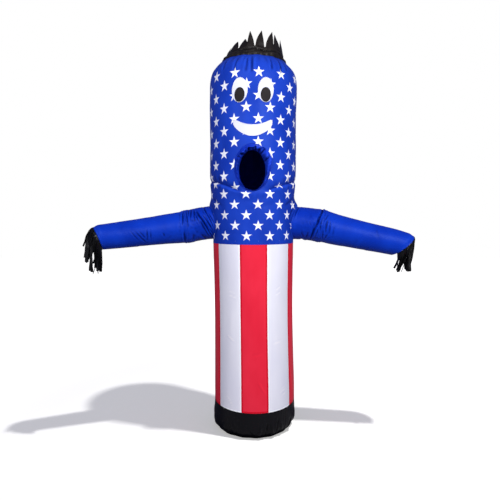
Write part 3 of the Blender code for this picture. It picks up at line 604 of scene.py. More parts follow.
def starCloth(angle, station):
    angle, station = asArrays(angle, station)
    height = heightOf(station)
    radius, centreX = outlineAt(height)
    beside = station - creaseHeight(angle)
    strength = creaseStrength(angle)
    beside = beside + crease["ripple"] * pleated(angle, 9, 1.6, 4) * strength
    turn = unturned(angle)
    sides = 1.0 - 0.45 * ease((np.abs(turn) - math.radians(62)) / math.radians(22))
    halfWidth = np.where(beside < 0.0, *crease["halfWidths"])
    radius = radius - crease["depth"] * sides * strength * hump(beside, halfWidth)
    height = height - crease["lip"] * strength * hump(beside - 0.013, 0.011)
    bulge = hump(turn, math.radians(24)) * hump(beside + 0.012, 0.022)
    radius = radius + crease["bulge"] * bulge + shoulder(angle, height)
    height = height + (tube["topLift"] - tube["topTilt"] * np.sin(angle)) * ease((station - 1.98) / 0.15)
    drop = tube["seamDrop"][0] + tube["seamDrop"][1] * np.sin(angle)
    height = height - drop * ease((station - topStation + 0.09) / 0.09)
    pucker = pleated(angle, 13, 0.9, 2)
    height = height + tube["pucker"] * pucker * ease((station - 2.06) / 0.08)
    # What the solid leaves out: gathers at the fold, at the hair and at the seam, and slack.
    gathers = pleated(angle, 41, 2.2, 5) * (0.6 + 0.4 * np.sin(7 * angle + 1.0))
    radius = radius + crease["gathers"] * (0.3 + 0.7 * strength) * gathers * (
        hump(beside - 0.024, 0.016) + 0.7 * hump(beside + 0.022, 0.014))
    drawn = ease((station - 2.045) / 0.06) * (1.0 - 0.6 * ease((station - topStation + 0.02) / 0.02))
    radius = radius + tube["topGathers"] * drawn * pleated(angle, *tube["topPleats"])
    sewn = pleated(angle, 67, 2.0, 4) * np.exp(-(station - tube["seam"]) / 0.012)
    radius = radius + tube["seamGathers"] * sewn
    for rows in starFolds.values():
        radius = radius + foldsAround(angle, station, rows, tube["round"])
    points = roundPlaces(angle, radius, height, centreX)
    free = ease((topStation - station) / 0.05) * ease((station - tube["seam"]) / 0.03)
    return pushOut(points, angle, slackOf(points, tube["slack"]) * free)


# Where the stars fall: angle of each half step, on the head and on the chest.
starColumns = {
    "step": (-12, -5, -4, -3, -2, -1, 0, 1, 2, 3, 4, 5, 12),
    "head": (-173.9, -70.6, -55.4, -39.4, -24.3, -8.8, 6.1, 21.3, 36.4, 51.5, 67.1, 82.2, 186.1),
    "chest": (-173.5, -75.5, -58.4, -41.2, -24.8, -9.0, 6.5, 22.2, 37.4, 52.8, 67.9, 83.0, 186.5),
    "backStep": 14.8,         # beyond the last of each row, behind
    "headTop": 2.009, "headStep": 0.0603,
    "chestTop": 1.370, "chestStep": 0.0570, "chestRow": 11,
}


def printPlaces(angle, station):
    degrees = np.degrees(angle)
    steps = (starColumns["step"][0] - 1, *starColumns["step"], starColumns["step"][-1] + 1)

    def stepsAt(table):
        first, *_, last = starColumns[table]
        wide = (first - starColumns["backStep"], *starColumns[table], last + starColumns["backStep"])
        return np.interp(degrees, wide, steps)

    above = ease((station - creaseHeight(angle)) / 0.016 + 0.5)
    head = (starColumns["headTop"] - station) / starColumns["headStep"]
    chest = starColumns["chestRow"] + (starColumns["chestTop"] - station) / starColumns["chestStep"]
    over = stepsAt("head") * above + stepsAt("chest") * (1.0 - above)
    return np.stack((over + 1.0, head * above + chest * (1.0 - above)), axis=-1)


def starTube():
    # Rows of points from the seam up: closer through the fold, and evenly over the dome.
    below, through, upright, dome = tube["lines"]

    def stations(angle):
        fold = creaseHeight(angle)
        return np.concatenate((
            tube["seam"] + (fold - 0.030 - tube["seam"]) * np.linspace(0.0, 1.0, below)[:, None],
            fold + np.linspace(-0.026, 0.038, through)[:, None],
            fold + 0.042 + (tube["domeStart"] - fold - 0.042) * np.linspace(0.0, 1.0, upright)[:, None],
            np.linspace(tube["domeStart"], topStation, dome)[1:, None] + 0.0 * angle))

    angles, closedAngles = bothRounds(tube["columns"])
    station = stations(angles)
    grid = starCloth(np.broadcast_to(angles, station.shape), station)
    wide = stations(closedAngles)
    turned = np.broadcast_to(closedAngles, wide.shape)
    maps = {"print": printPlaces(turned, wide), "cloth": np.stack((turned * tube["round"], wide), axis=-1)}
    # The cloth just below the hair is painted darker: painted shade.
    return sheetPiece("starTube", grid, finishes["stars"], maps, wrap=True,
                      paintedShade=tube["paintedShade"] * hump(topStation - station, 0.030))


opening = {
    "x": -0.0085, "halfWidth": 0.0980, "halfHeight": 0.1275, "centre": 1.5100,
    "cut": (-0.32, -0.17),    # the cut goes from this place to that, front to back
}


def faceCutter():
    rings = [[(opening["x"] + opening["halfWidth"] * math.sin(turn), depth,
               opening["centre"] + opening["halfHeight"] * math.cos(turn)) for turn in roundAngles(120)]
             for depth in opening["cut"]]
    return plug("faceCutter", rings)


# The arms

arms = {
    "left": {
        "side": -1, "elbow": 0.400, "wrist": 0.857, "slant": 0.034, "shoulder": 0.014, "near": 0.0,
        "rows": (
            # reach from the tube's axis, forward, height, radius
            (0.150, 0.000, 1.216, 0.0965), (0.230, 0.002, 1.214, 0.0965), (0.300, 0.010, 1.206, 0.0955),
            (0.400, 0.028, 1.187, 0.0915), (0.500, 0.060, 1.1755, 0.0855), (0.600, 0.096, 1.163, 0.0798),
            (0.740, 0.148, 1.146, 0.0742), (0.857, 0.192, 1.133, 0.0690), (0.930, 0.219, 1.124, 0.0680),
        ),
        "folds": (
            # reach, angle round from the top, half length, half width, depth, slant
            (0.3150, 58, 0.044, 0.0052, 0.0085, -0.12), (0.2870, 98, 0.058, 0.0050, 0.0110, -0.42),
            (0.2655, 94, 0.040, 0.0046, 0.0090, -0.50), (0.2680, 58, 0.060, 0.0046, 0.0080, -0.32),
            (0.2790, 22, 0.036, 0.0042, 0.0060, -0.10), (0.3000, 78, 0.050, 0.0044, 0.0065, -0.36),
            (0.2480, 72, 0.040, 0.0044, 0.0060, -0.44), (0.3560, 40, 0.030, 0.0044, 0.0060, 0.24),
            (0.3370, 44, 0.034, 0.0042, 0.0056, 0.14), (0.3860, 56, 0.050, 0.0052, 0.0070, 0.10),
            (0.3700, 34, 0.030, 0.0040, 0.0040, 0.20), (0.3260, 66, 0.040, 0.0042, 0.0040, -0.20),
            (0.2520, 122, 0.026, 0.0070, 0.0055, -0.45), (0.3440, 112, 0.020, 0.0100, 0.0022, -0.20),
            (0.3050, 145, 0.036, 0.0110, 0.0040, -0.40), (0.3700, 136, 0.024, 0.0080, 0.0035, 0.20),
            (0.3300, 215, 0.050, 0.0120, 0.0045, -0.40), (0.2800, 300, 0.060, 0.0110, 0.0050, 0.55),
            (0.3450, 330, 0.040, 0.0080, 0.0045, 0.25),
        ),
        "forearmFolds": (
            (0.4130, 46, 0.044, 0.0060, 0.0085, 0.20), (0.4180, 128, 0.034, 0.0065, 0.0080, -0.05),
            (0.4400, 86, 0.030, 0.0100, 0.0020, 0.10), (0.6820, 98, 0.026, 0.0045, 0.0022, -0.62),
            (0.6700, 99, 0.025, 0.0042, 0.0020, -0.64), (0.6510, 109, 0.034, 0.0048, 0.0028, -0.68),
            (0.6390, 102, 0.024, 0.0042, 0.0021, -0.66), (0.6180, 103, 0.027, 0.0050, 0.0028, 0.00),
            (0.6010, 104, 0.026, 0.0050, 0.0022, 0.00), (0.5330, 107, 0.012, 0.0050, 0.0026, -0.20),
            (0.7400, 60, 0.030, 0.0140, 0.0012, 0.30), (0.5000, 120, 0.030, 0.0140, 0.0014, 0.10),
            (0.4550, 250, 0.050, 0.0140, 0.0040, 0.25), (0.5600, 300, 0.050, 0.0200, 0.0030, 0.10),
            (0.6400, 210, 0.050, 0.0100, 0.0025, -0.30),
        ),
    },
    "right": {
        "side": 1, "elbow": 0.402, "wrist": 0.853, "slant": 0.089, "shoulder": 0.024, "near": 0.021,
        "rows": (
            (0.150, 0.000, 1.211, 0.0950), (0.230, 0.002, 1.210, 0.0950), (0.300, 0.008, 1.206, 0.0945),
            (0.400, 0.016, 1.192, 0.0930), (0.480, 0.024, 1.171, 0.0890), (0.565, 0.034, 1.1525, 0.0845),
            (0.647, 0.044, 1.1345, 0.0811), (0.800, 0.063, 1.1025, 0.0757), (0.875, 0.073, 1.0830, 0.0725),
            (0.960, 0.084, 1.0620, 0.0700),
        ),
        "folds": (
            (0.3680, 78, 0.086, 0.0060, 0.0130, -0.21), (0.3850, 20, 0.040, 0.0052, 0.0090, 0.00),
            (0.3720, 76, 0.034, 0.0050, 0.0045, 0.02), (0.3500, 116, 0.050, 0.0062, 0.0085, -0.06),
            (0.3800, 98, 0.022, 0.0060, -0.0030, 0.10),
            (0.2500, 40, 0.040, 0.0048, 0.0085, -0.30),
            (0.2960, 84, 0.040, 0.0140, 0.0018, -0.20), (0.3260, 60, 0.034, 0.0120, 0.0020, 0.10),
            (0.2900, 132, 0.030, 0.0080, 0.0030, 0.30), (0.3180, 136, 0.026, 0.0070, 0.0032, -0.20),
            (0.3000, 190, 0.060, 0.0120, 0.0050, 0.35), (0.3300, 290, 0.060, 0.0120, 0.0060, 0.50),
            (0.2750, 250, 0.040, 0.0090, 0.0050, -0.35), (0.3720, 250, 0.050, 0.0090, 0.0060, 0.20),
        ),
        "forearmFolds": (
            (0.4200, 84, 0.034, 0.0056, 0.0050, 0.05), (0.4100, 116, 0.030, 0.0056, 0.0050, 0.12),
            (0.4420, 92, 0.040, 0.0060, 0.0020, 0.18), (0.4350, 124, 0.030, 0.0056, 0.0026, -0.20),
            (0.4080, 60, 0.026, 0.0050, 0.0036, -0.20), (0.4650, 100, 0.040, 0.0070, 0.0012, 0.10),
            (0.6000, 124, 0.040, 0.0120, 0.0014, -0.35), (0.7000, 64, 0.040, 0.0120, 0.0012, 0.30),
            (0.4550, 250, 0.050, 0.0120, 0.0045, 0.25), (0.5600, 300, 0.050, 0.0200, 0.0030, 0.10),
            (0.6400, 210, 0.050, 0.0100, 0.0025, -0.30),
        ),
    },
}
sleeve = {
    "columns": 112, "lines": (58, 110), "round": 0.085,
    "root": (0.160, 0.330),   # the reach between which the sleeve meets the tube
    "elbowStep": 0.0050, "elbowSpread": (0.034, 0.011),
    "seamPinch": 0.0024, "pinchWidth": 0.0035,
    "waves": (15.0, 40.0, 1.6),     # of its rumples: a metre along, large and small, and across
    "slack": 0.0014, "forearmSlack": 0.55,      # the forearm's, as a share of the upper sleeve's
    "bunched": 0.100,         # how far from the elbow the cloth crinkles more
    "wristRound": (0.0090, 0.014),      # how far the end is drawn in at its top, and from how far back
    "handBulge": 0.016, "handPleats": 0.0016, "endGap": 0.002, "endRound": 0.07,
    "freeFrom": (0.024, 0.06),      # how far from the tube, and from the wrist, the cloth folds freely
}


def armFrame(arm, reach):
    # The middle of the sleeve there, and its directions: along it, up and to the front.
    reach = np.asarray(reach, dtype=float)

    def centre(at):
        forward, height, _ = readTable(arm["rows"], at)
        return np.stack((arm["side"] * at, -forward, height), axis=-1)

    axis = unit(centre(reach + 0.002) - centre(reach - 0.002))
    up = unit(np.array((0.0, 0.0, 1.0)) - axis[..., 2:] * axis)
    return centre(reach), axis, up, -arm["side"] * np.cross(up, axis)


def sleeveFolds(folds, reach, turn, radius):
    depth = np.zeros(reach.shape)
    for at, degrees, halfLength, halfWidth, deep, slant in folds:
        around = unturned(turn - math.radians(degrees)) * radius
        across = reach - at - slant * around - 1.2 * around * around * slant
        shape = hump(across, halfWidth) - 0.55 * hump(across - 1.7 * halfWidth, halfWidth)
        depth += deep * shape * hump(around, halfLength)
    return depth


def wristTilt(arm, turn):
    return 0.5 * arm["slant"] * np.cos(turn) + arm["near"] * np.sin(turn)


def armSurface(arm, turn, reach, distance=0.0, folds=(), held=1.0, slack=0.0):
    turn, reach = asArrays(turn, reach)
    centre, _, up, front = armFrame(arm, reach)
    radius = readTable(arm["rows"], reach)[2]
    beyond = reach - arm["elbow"]
    spread = np.where(beyond > 0.0, sleeve["elbowSpread"][1], sleeve["elbowSpread"][0])
    radius = radius + sleeve["elbowStep"] * hump(beyond, spread)
    drawnIn, within = sleeve["wristRound"]
    fromEnd = np.maximum(arm["wrist"] + wristTilt(arm, turn) - reach, 0.0)
    radius = radius - drawnIn * ease(np.cos(turn) + 0.4) * hump(fromEnd, within)
    if folds:
        radius = radius - held * sleeveFolds(folds, reach, turn, radius)
    if slack:
        radius = radius - sleeve["seamPinch"] * hump(beyond, sleeve["pinchWidth"])
        coarse, fine, across = sleeve["waves"]
        place = np.stack((reach * coarse, across * np.cos(turn), across * np.sin(turn)), axis=-1)
        large = crumple(place, (1.0, 1.0, 1.0), 3 + arm["side"])
        place[..., 0] = reach * fine + 1.2 * large
        small = crumple(place, (1.0, 2.4, 2.4), 7 + arm["side"])
        bunched = 0.7 + 1.3 * hump(beyond, sleeve["bunched"])
        radius = radius + held * slack * (0.7 * large + 0.9 * bunched * (0.32 - np.abs(small)))
    ray = np.cos(turn)[..., None] * up + np.sin(turn)[..., None] * front
    return centre + (radius + distance)[..., None] * ray


def armholeCutter(name, arm):
    rings = [armSurface(arm, roundAngles(96), reach, cloth["lap"] + 0.0004).tolist()
             for reach in (sleeve["root"][0], 0.200, 0.225, 0.245, 0.265, 0.285, 0.305, sleeve["root"][1])]
    return plug("armholeCutter" + name.title(), rings)


def sleeveRoot(arm, turns, inset=0.0024):
    # Where each line along the sleeve meets the inside of the tube's wall.
    low, high = [np.full(turns.shape, reach) for reach in sleeve["root"]]
    for _ in range(26):
        reach = (low + high) / 2
        point = armSurface(arm, turns, reach)
        centreX = outlineAt(point[..., 2])[1]
        angle = np.arctan2(point[..., 0] - centreX, -point[..., 1])
        wall = starCloth(angle, point[..., 2])
        wallRadius = np.hypot(wall[..., 0] - centreX, wall[..., 1])
        inside = np.hypot(point[..., 0] - centreX, point[..., 1]) < wallRadius - inset
        low, high = np.where(inside, reach, low), np.where(inside, high, reach)
    return low


def wristReach(arm, turn, distance=0.0):
    radius = float(readTable(arm["rows"], arm["wrist"])[2])
    return arm["wrist"] + wristTilt(arm, turn) * (radius + distance) / radius


def sleevePiece(name, arm, starts, ends, rows, folds, held, slack):
    # starts and ends give the reach of the two edges at each turn, and held how freely the cloth folds.
    def places(turns):
        first = starts(turns)
        return asArrays(first + (ends(turns) - first) * rows[:, None], turns)

    turns, closedTurns = bothRounds(sleeve["columns"])
    reach, turned = places(turns)
    grid = armSurface(arm, turned, reach, 0.0, folds, held(reach, reach[0]), slack)
    mapReach, mapTurns = places(closedTurns)
    maps = {"cloth": np.stack((mapReach, mapTurns * sleeve["round"]), axis=-1)}
    return sheetPiece(name, grid, finishes["blue"], maps, armFrame(arm, reach)[0], wrap=True)


def upperSleeve(name, arm):
    def held(reach, first):
        return ease((reach - first) / sleeve["freeFrom"][0])

    end = arm["elbow"] - cloth["gap"] / 2
    rows = np.linspace(0.0, 1.0, sleeve["lines"][0])
    return sleevePiece("upperSleeve" + name.title(), arm, lambda turns: sleeveRoot(arm, turns),
                       lambda turns: end + 0.0 * turns, rows, arm["folds"], held, sleeve["slack"])


def forearm(name, arm):
    def held(reach, first):
        return ease((wristReach(arm, 0.0) - reach) / sleeve["freeFrom"][1] + 0.4)

    start = arm["elbow"] + cloth["gap"] / 2
    rows = np.linspace(0.0, 1.0, sleeve["lines"][1]) ** 1.25
    return sleevePiece("forearm" + name.title(), arm, lambda turns: start + 0.0 * turns,
                       lambda turns: wristReach(arm, turns), rows, arm["forearmFolds"], held,
                       sleeve["slack"] * sleeve["forearmSlack"])


def handEnd(name, arm):
    turns, closedTurns = bothRounds(sleeve["columns"])
    centre, axis, _, _ = armFrame(arm, arm["wrist"])
    rim = armSurface(arm, turns, wristReach(arm, turns))
    shares = np.linspace(0.0, 1.0, 16)[:, None]
    pleats = pleated(turns, 17, 1.5, 3) * shares ** 2 * (1.0 - shares) * 4.0
    bulge = sleeve["handBulge"] * (1.0 - shares ** 2) + sleeve["handPleats"] * pleats
    lift = cloth["gap"] + sleeve["endGap"] + bulge
    grid = centre + (rim - centre) * shares[..., None] + axis * lift[..., None]
    rounds = np.stack((np.cos(closedTurns), np.sin(closedTurns)), axis=-1)
    maps = {"cloth": sleeve["endRound"] * shares[..., None] * rounds}
    return sheetPiece("handEnd" + name.title(), grid, finishes["blue"], maps, centre - 0.2 * axis,
                      wrap=True, pole=True)


upperSleeves, forearms, handEnds = {}, {}, {}
for name, arm in arms.items():
    upperSleeves[name] = standsFor(upperSleeve(name, arm), "upper_sleeve_" + name, "blue_cloth")
    forearms[name] = standsFor(forearm(name, arm), "forearm_" + name, "blue_cloth")
    handEnds[name] = standsFor(handEnd(name, arm), "hand_end_" + name, "blue_cloth")
print("sleeves made")

starPiece = cutBy(starTube(), [faceCutter()] + [armholeCutter(name, arm) for name, arm in arms.items()])
starPiece = standsFor(starPiece, "star_tube", "star_cloth")
print("star cloth made:", len(starPiece.data.polygons), "faces")


# The round of cloth inside the hair

crown = {
    "rise": 0.034, "seam": 0.0014,
    "swell": 7.0,             # how soon the cloth rises from its seam
    "pleats": 0.0026, "columns": 168,
}


def crownCap():
    middle = np.array((0.0, 0.0, topHeight + crown["rise"]))
    shares = np.linspace(0.0, 1.0, 22)[:, None]

    def places(angles):
        rim = starCloth(angles, topStation)
        reach = shares * (1.0 - crown["seam"] / topRadius)
        grid = middle + (rim - middle) * reach[..., None]
        pleats = pleated(angles, *tube["topPleats"]) * ease(shares * 1.6 - 0.6) * (1.0 - shares ** 6)
        fall = (rim[:, 2] - middle[2]) * reach ** crown["swell"]
        grid[..., 2] = middle[2] + fall + crown["pleats"] * pleats
        return grid

    angles, closedAngles = bothRounds(crown["columns"])
    grid = places(angles)
    return sheetPiece("crownCap", grid, finishes["blue"], {"cloth": places(closedAngles)[..., :2]},
                      grid - ontoAxis, wrap=True, pole=True)


# The hair

hair = {
    "seam": 0.0006, "band": 0.050, "lean": 0.28, "flop": 0.34, "shoulder": 0.05,
    "fullness": 0.56,         # below 1 the sides of a spike bow outwards
    "crease": 0.004, "puff": 0.003, "satin": 0.0030, "gathers": 0.0022,
    "slack": (((16.0, 16.0, 22.0), 11, 0.0036),),
    "spikes": (
        # start, tip, height above the band, lean of the tip, curl, twist, height of the notch before it
        (-13.5, -8.5, 0.087, 0.002, 0.004, 0.3, 0.026), (1.7, 16.0, 0.096, 0.008, -0.006, -0.2, 0.000),
        (20.9, 39.5, 0.098, 0.014, 0.006, 0.4, -0.004), (42.1, 59.0, 0.094, -0.002, -0.004, -0.5, 0.026),
        (60.8, 80.0, 0.082, 0.004, 0.006, 0.2, 0.018), (90.0, 102.5, 0.048, -0.010, 0.0, 0.3, 0.000),
        (113.0, 125.0, 0.075, 0.008, -0.006, -0.3, 0.006), (136.0, 148.0, 0.063, 0.012, 0.004, 0.2, 0.000),
        (160.0, 171.0, 0.077, -0.006, 0.006, 0.4, 0.008), (182.5, 194.0, 0.069, 0.010, -0.004, -0.2, 0.000),
        (205.5, 217.0, 0.061, -0.008, 0.004, 0.3, 0.004), (228.5, 240.0, 0.053, 0.006, 0.0, -0.4, 0.000),
        (251.0, 262.5, 0.028, -0.006, 0.002, 0.2, 0.000), (274.0, 285.0, 0.026, 0.010, 0.0, 0.1, 0.002),
        (296.0, 310.0, 0.044, 0.022, 0.003, -0.2, 0.000), (327.2, 333.0, 0.047, 0.022, -0.003, 0.3, 0.000),
    ),
    "folds": (
        # angle in degrees, rise from the seam, direction, half length, half width, rise, bow
        (-10.0, 0.026, 6, 0.060, 0.0060, 0.0050, 1.0), (14.0, 0.030, -8, 0.050, 0.0050, -0.0040, 1.5),
        (36.0, 0.022, 10, 0.050, 0.0060, 0.0045, 1.0), (58.0, 0.034, -14, 0.040, 0.0060, 0.0040, 0.0),
        (-36.0, 0.030, 14, 0.050, 0.0060, 0.0045, 0.0), (-60.0, 0.024, -10, 0.050, 0.0060, -0.0040, 0.0),
        (24.0, 0.060, 74, 0.040, 0.0050, 0.0035, 0.0), (4.0, 0.064, 104, 0.040, 0.0050, 0.0035, 0.0),
        (100.0, 0.026, 8, 0.060, 0.0060, 0.0040, 1.0), (140.0, 0.030, -8, 0.060, 0.0060, -0.0040, 1.0),
        (180.0, 0.024, 6, 0.060, 0.0060, 0.0040, 1.0), (220.0, 0.030, -6, 0.060, 0.0060, 0.0040, 1.0),
        (255.0, 0.024, 12, 0.060, 0.0060, -0.0040, 1.0),
    ),
}


def hairMarks():
    marks = []
    spikes = hair["spikes"]
    for index, (start, middle, height, lean, curl, twist, notch) in enumerate(spikes):
        after = spikes[(index + 1) % len(spikes)]
        end = after[0] if index + 1 < len(spikes) else after[0] + 360
        tip = math.degrees(lean / topRadius)
        flank = hair["shoulder"] * (end - start)
        marks += [(start, notch, 0.0, 0.0, 0.0), (start + flank, notch, 0.0, 0.0, twist),
                  (middle, height, tip, curl, 0.0), (end - flank, after[6], 0.0, 0.0, -twist)]
    return marks


def hairBand():
    marks = hairMarks()
    whole = np.array(marks + [(marks[0][0] + 360, *marks[0][1:])])
    steps = np.concatenate([index + np.linspace(0.0, 1.0, (2, 10, 10, 2)[index % 4])[:-1]
                            for index in range(len(marks))])
    closedSteps = np.concatenate((steps, [float(len(marks))]))
    shares = np.concatenate((np.linspace(0.0, 1.0, 14), np.linspace(1.0, 2.0, 22)[1:]))[:, None]

    def places(at):
        angle, height, tip, curl, twist = [np.interp(at, np.arange(len(whole)), column) for column in whole.T]
        spike = np.minimum(at.astype(int), len(marks) - 1) // 4
        lowest = np.where(at % 4 < 2, whole[0::4, 1][spike], whole[4::4, 1][spike])
        spread = whole[2::4, 1][spike] - lowest
        height = lowest + spread * np.clip((height - lowest) / spread, 0.0, 1.0) ** hair["fullness"]
        free = np.maximum(shares - 1.0, 0.0)
        turned = np.radians(angle + tip * free)
        rise = np.where(shares <= 1.0, shares * hair["band"], hair["band"] + (height + 0.002) * free)
        flop = hair["flop"] * ease(-np.sin(turned) * 1.4)
        radius = topRadius - (hair["lean"] + flop) * rise
        # Each spike is creased down its middle and curls a little, and the band is rumpled.
        creased = twist * np.sin(math.pi * np.minimum(free * 1.2, 1.0))
        radius = radius + free ** 2 * curl + hair["crease"] * creased
        radius = radius + hair["puff"] * ease(free * 3.0) * (height / 0.1) * (1.0 - free)
        radius = radius + foldsAround(turned, rise, hair["folds"], topRadius) * ease(shares * 4.0)
        satin = (hump(rise - 0.013 - 0.003 * np.sin(3 * turned), 0.009)
                 - hump(rise - 0.034 + 0.004 * np.sin(2 * turned + 1.0), 0.007))
        gathers = pleated(turned, *tube["topPleats"]) * (1.0 - ease(shares * 1.1)) * ease(shares * 5.0)
        radius = radius + hair["satin"] * satin + hair["gathers"] * gathers
        grid = roundPlaces(turned, radius, starCloth(turned, topStation)[..., 2] + hair["seam"] + rise)
        grid = pushOut(grid, turned, slackOf(grid, hair["slack"]) * ease(shares * 3.0))
        return grid, np.stack((turned * topRadius, rise), axis=-1)

    maps = {"cloth": places(closedSteps)[1]}
    return sheetPiece("hairBand", places(steps)[0], finishes["hair"], maps, wrap=True)


# The hood round the face opening

hood = {
    "rows": (
        # row, half width, half height, centre height, depth behind the star cloth, depth of its folds
        (0, 0.1050, 0.1345, 1.5100, 0.0022, 0.0000), (1, 0.0960, 0.1255, 1.5100, 0.0020, 0.0000),
        (2, 0.0895, 0.1205, 1.5060, 0.0040, 0.0022), (3, 0.0815, 0.1145, 1.5010, 0.0045, 0.0030),
        (4, 0.0740, 0.1095, 1.4970, 0.0150, 0.0022), (5, 0.0715, 0.1085, 1.4965, 0.0270, 0.0012),
    ),
    "puckers": 11,
    "held": (0.0, 0.0, 0.7, 1.0, 0.8, 0.25),      # how freely the cloth folds, row by row
    "roll": 0.0190,           # how far the cloth puffs out at the top
    "spill": {"angle": 60.0, "halfAngle": 34.0, "reach": 0.024},      # over the edge of the star cloth
    "deepen": 1.65,           # how much deeper its folds are than the table says
    "round": 0.1, "step": 0.010,          # metres to a radian round the opening, and from row to row
    "slack": (((1.0, 1.0, 1.0), 51, 0.0042), ((2.3, 2.3, 1.8), 52, 0.00252)),
    "columns": 216,
    "folds": (
        # angle from the top in degrees, place across the hood, direction, half length, half width, rise, bow
        (-38.0, 0.028, 40, 0.024, 0.0066, 0.0105, 6.0), (-22.0, 0.035, -52, 0.017, 0.0050, 0.0080, 4.0),
        (-6.0, 0.024, 8, 0.030, 0.0062, 0.0110, -6.0), (3.0, 0.038, -8, 0.022, 0.0046, 0.0075, -4.0),
        (18.0, 0.030, 62, 0.018, 0.0052, 0.0085, 3.0), (27.0, 0.022, -22, 0.022, 0.0058, 0.0095, -5.0),
        (40.0, 0.031, -66, 0.022, 0.0050, -0.0080, 2.0), (53.0, 0.024, 22, 0.024, 0.0056, 0.0085, 4.0),
        (-57.0, 0.026, 68, 0.020, 0.0050, -0.0070, 3.0), (64.0, 0.038, 76, 0.016, 0.0044, -0.0055, 0.0),
        (-70.0, 0.038, 80, 0.014, 0.0044, -0.0050, 0.0), (-50.0, 0.039, 20, 0.016, 0.0044, 0.0055, 0.0),
        (78.0, 0.021, -8, 0.050, 0.0050, 0.0065, 1.0), (103.0, 0.031, 4, 0.060, 0.0056, 0.0080, 0.5),
        (96.0, 0.043, 5, 0.050, 0.0044, 0.0050, 0.0), (124.0, 0.023, 14, 0.032, 0.0050, 0.0052, 1.0),
        (-84.0, 0.031, 0, 0.054, 0.0050, 0.0060, 0.5), (-104.0, 0.021, 6, 0.044, 0.0045, 0.0048, 1.0),
        (-92.0, 0.042, -4, 0.044, 0.0042, 0.0040, 0.0), (144.0, 0.029, -6, 0.050, 0.0058, 0.0045, 0.5),
        (-140.0, 0.030, 6, 0.052, 0.0058, 0.0042, 0.5), (178.0, 0.034, 4, 0.040, 0.0052, 0.0034, 0.0),
        (160.0, 0.024, 58, 0.014, 0.0042, -0.0032, 0.0), (-164.0, 0.024, -52, 0.014, 0.0042, -0.0030, 0.0),
    ),
}


def faceHood():
    shares = np.linspace(0.0, 5.0, 44)[:, None]

    def ring(turn):
        wide, tall, centre, depth, pucker = readTable(hood["rows"], shares + 0.0 * turn)
        held = np.interp(shares, range(6), hood["held"])
        wave = np.sin(hood["puckers"] * turn + 1.2 * np.sin(turn) + 0.7 * np.sin(3 * turn))
        place = np.stack(asArrays(6.0 * np.sin(turn), 6.0 * np.cos(turn), shares * 0.9), axis=-1)
        folds = hood["deepen"] * foldsAround(turn, shares * hood["step"], hood["folds"], hood["round"])
        folds = folds + slackOf(place, hood["slack"])
        there = hump(np.degrees(turn) - hood["spill"]["angle"], hood["spill"]["halfAngle"])
        spill = hood["spill"]["reach"] * hump(shares - 2.1, 0.75) * there
        sideways = opening["x"] + (wide + 0.5 * pucker * wave + spill) * np.sin(turn)
        height = centre + (tall + 0.5 * pucker * wave + spill - 0.35 * held * folds) * np.cos(turn)
        radius, centreX = outlineAt(np.minimum(height, tube["domeStart"]))
        rolled = 0.45 + 0.55 * ease(np.cos(turn) + 0.3) + 0.30 * ease(np.sin(turn))
        roll = hood["roll"] * rolled * hump(shares - 2.8, 1.0) + 0.35 * spill
        inside = radius - 0.002 - depth - pucker * (0.5 + 0.5 * wave) + held * folds + roll
        out = -np.sqrt(inside ** 2 - (sideways - centreX) ** 2)
        return np.stack((sideways, out, height), axis=-1)

    turns, closedTurns = bothRounds(hood["columns"])
    flat = np.stack(asArrays(closedTurns * hood["round"], shares * hood["step"]), axis=-1)
    grid = ring(turns)
    return sheetPiece("faceHood", grid, finishes["hood"], {"cloth": flat}, grid + np.array((0.0, 1.0, 0.0)),
                      wrap=True)


# The sewn-on face

patches = (
    # piece, node, angle, height, width, height of the patch, layer, slot, finish
    ("eyeLeft", "eye_left", -17.4, 1.9175, 0.087, 0.129, 0, "white_cloth", "eyeWhite"),
    ("eyeRight", "eye_right", 15.0, 1.9175, 0.086, 0.129, 0, "white_cloth", "eyeWhite"),
    ("pupilLeft", "pupil_left", -17.4, 1.893, 0.055, 0.075, 1, "black_cloth", "pupil"),
    ("pupilRight", "pupil_right", 14.9, 1.893, 0.055, 0.075, 1, "black_cloth", "pupil"),
)
sewnOn = {
    "thickness": 0.0010,
    "round": 0.25,            # radius of the cloth below
}
smile = {
    "angle": -0.6, "halfTurn": 24.6, "top": 1.7355, "thickness": 0.0595,
    "topRise": 0.0350, "bottomRise": 0.0560, "wide": 0.1, "tall": 0.06,
}


def patchSpot(patch, turn, share, distance):
    _, _, angle, height, width, tall, layer, _, _ = patch
    lift = cloth["lap"] + layer * (sewnOn["thickness"] + cloth["lap"]) + distance
    across = math.radians(angle) + share * width / 2 / sewnOn["round"] * np.sin(turn)
    return lifted(starCloth, across, height + share * tall / 2 * np.cos(turn), lift)


def facePatch(patch):
    name, node, _, _, width, tall, _, slot, finish = patch
    shares = np.linspace(0.0, 1.0, 12)[:, None]
    turns, closedTurns = bothRounds(72)
    grid, _ = patchSpot(patch, turns, shares, sewnOn["thickness"])
    oval = np.stack((np.sin(closedTurns) * width / 2, np.cos(closedTurns) * tall / 2), axis=-1)
    maps = {"cloth": shares[..., None] * oval}
    piece = sheetPiece(name, grid, finishes[finish], maps, wrap=True, pole=True,
                       thickness=sewnOn["thickness"])
    return standsFor(piece, node, slot)


def smileSpot(along, row, distance):
    across = np.radians(smile["angle"] + smile["halfTurn"] * along)
    upper = smile["top"] + smile["topRise"] * along ** 2
    lower = smile["top"] - smile["thickness"] + smile["bottomRise"] * along ** 2
    blunt = 0.25 * np.abs(along) ** 14
    height = lower + (upper - lower) * (row * (1.0 - 2.0 * blunt) + blunt)
    return lifted(starCloth, across, height, cloth["lap"] + distance)


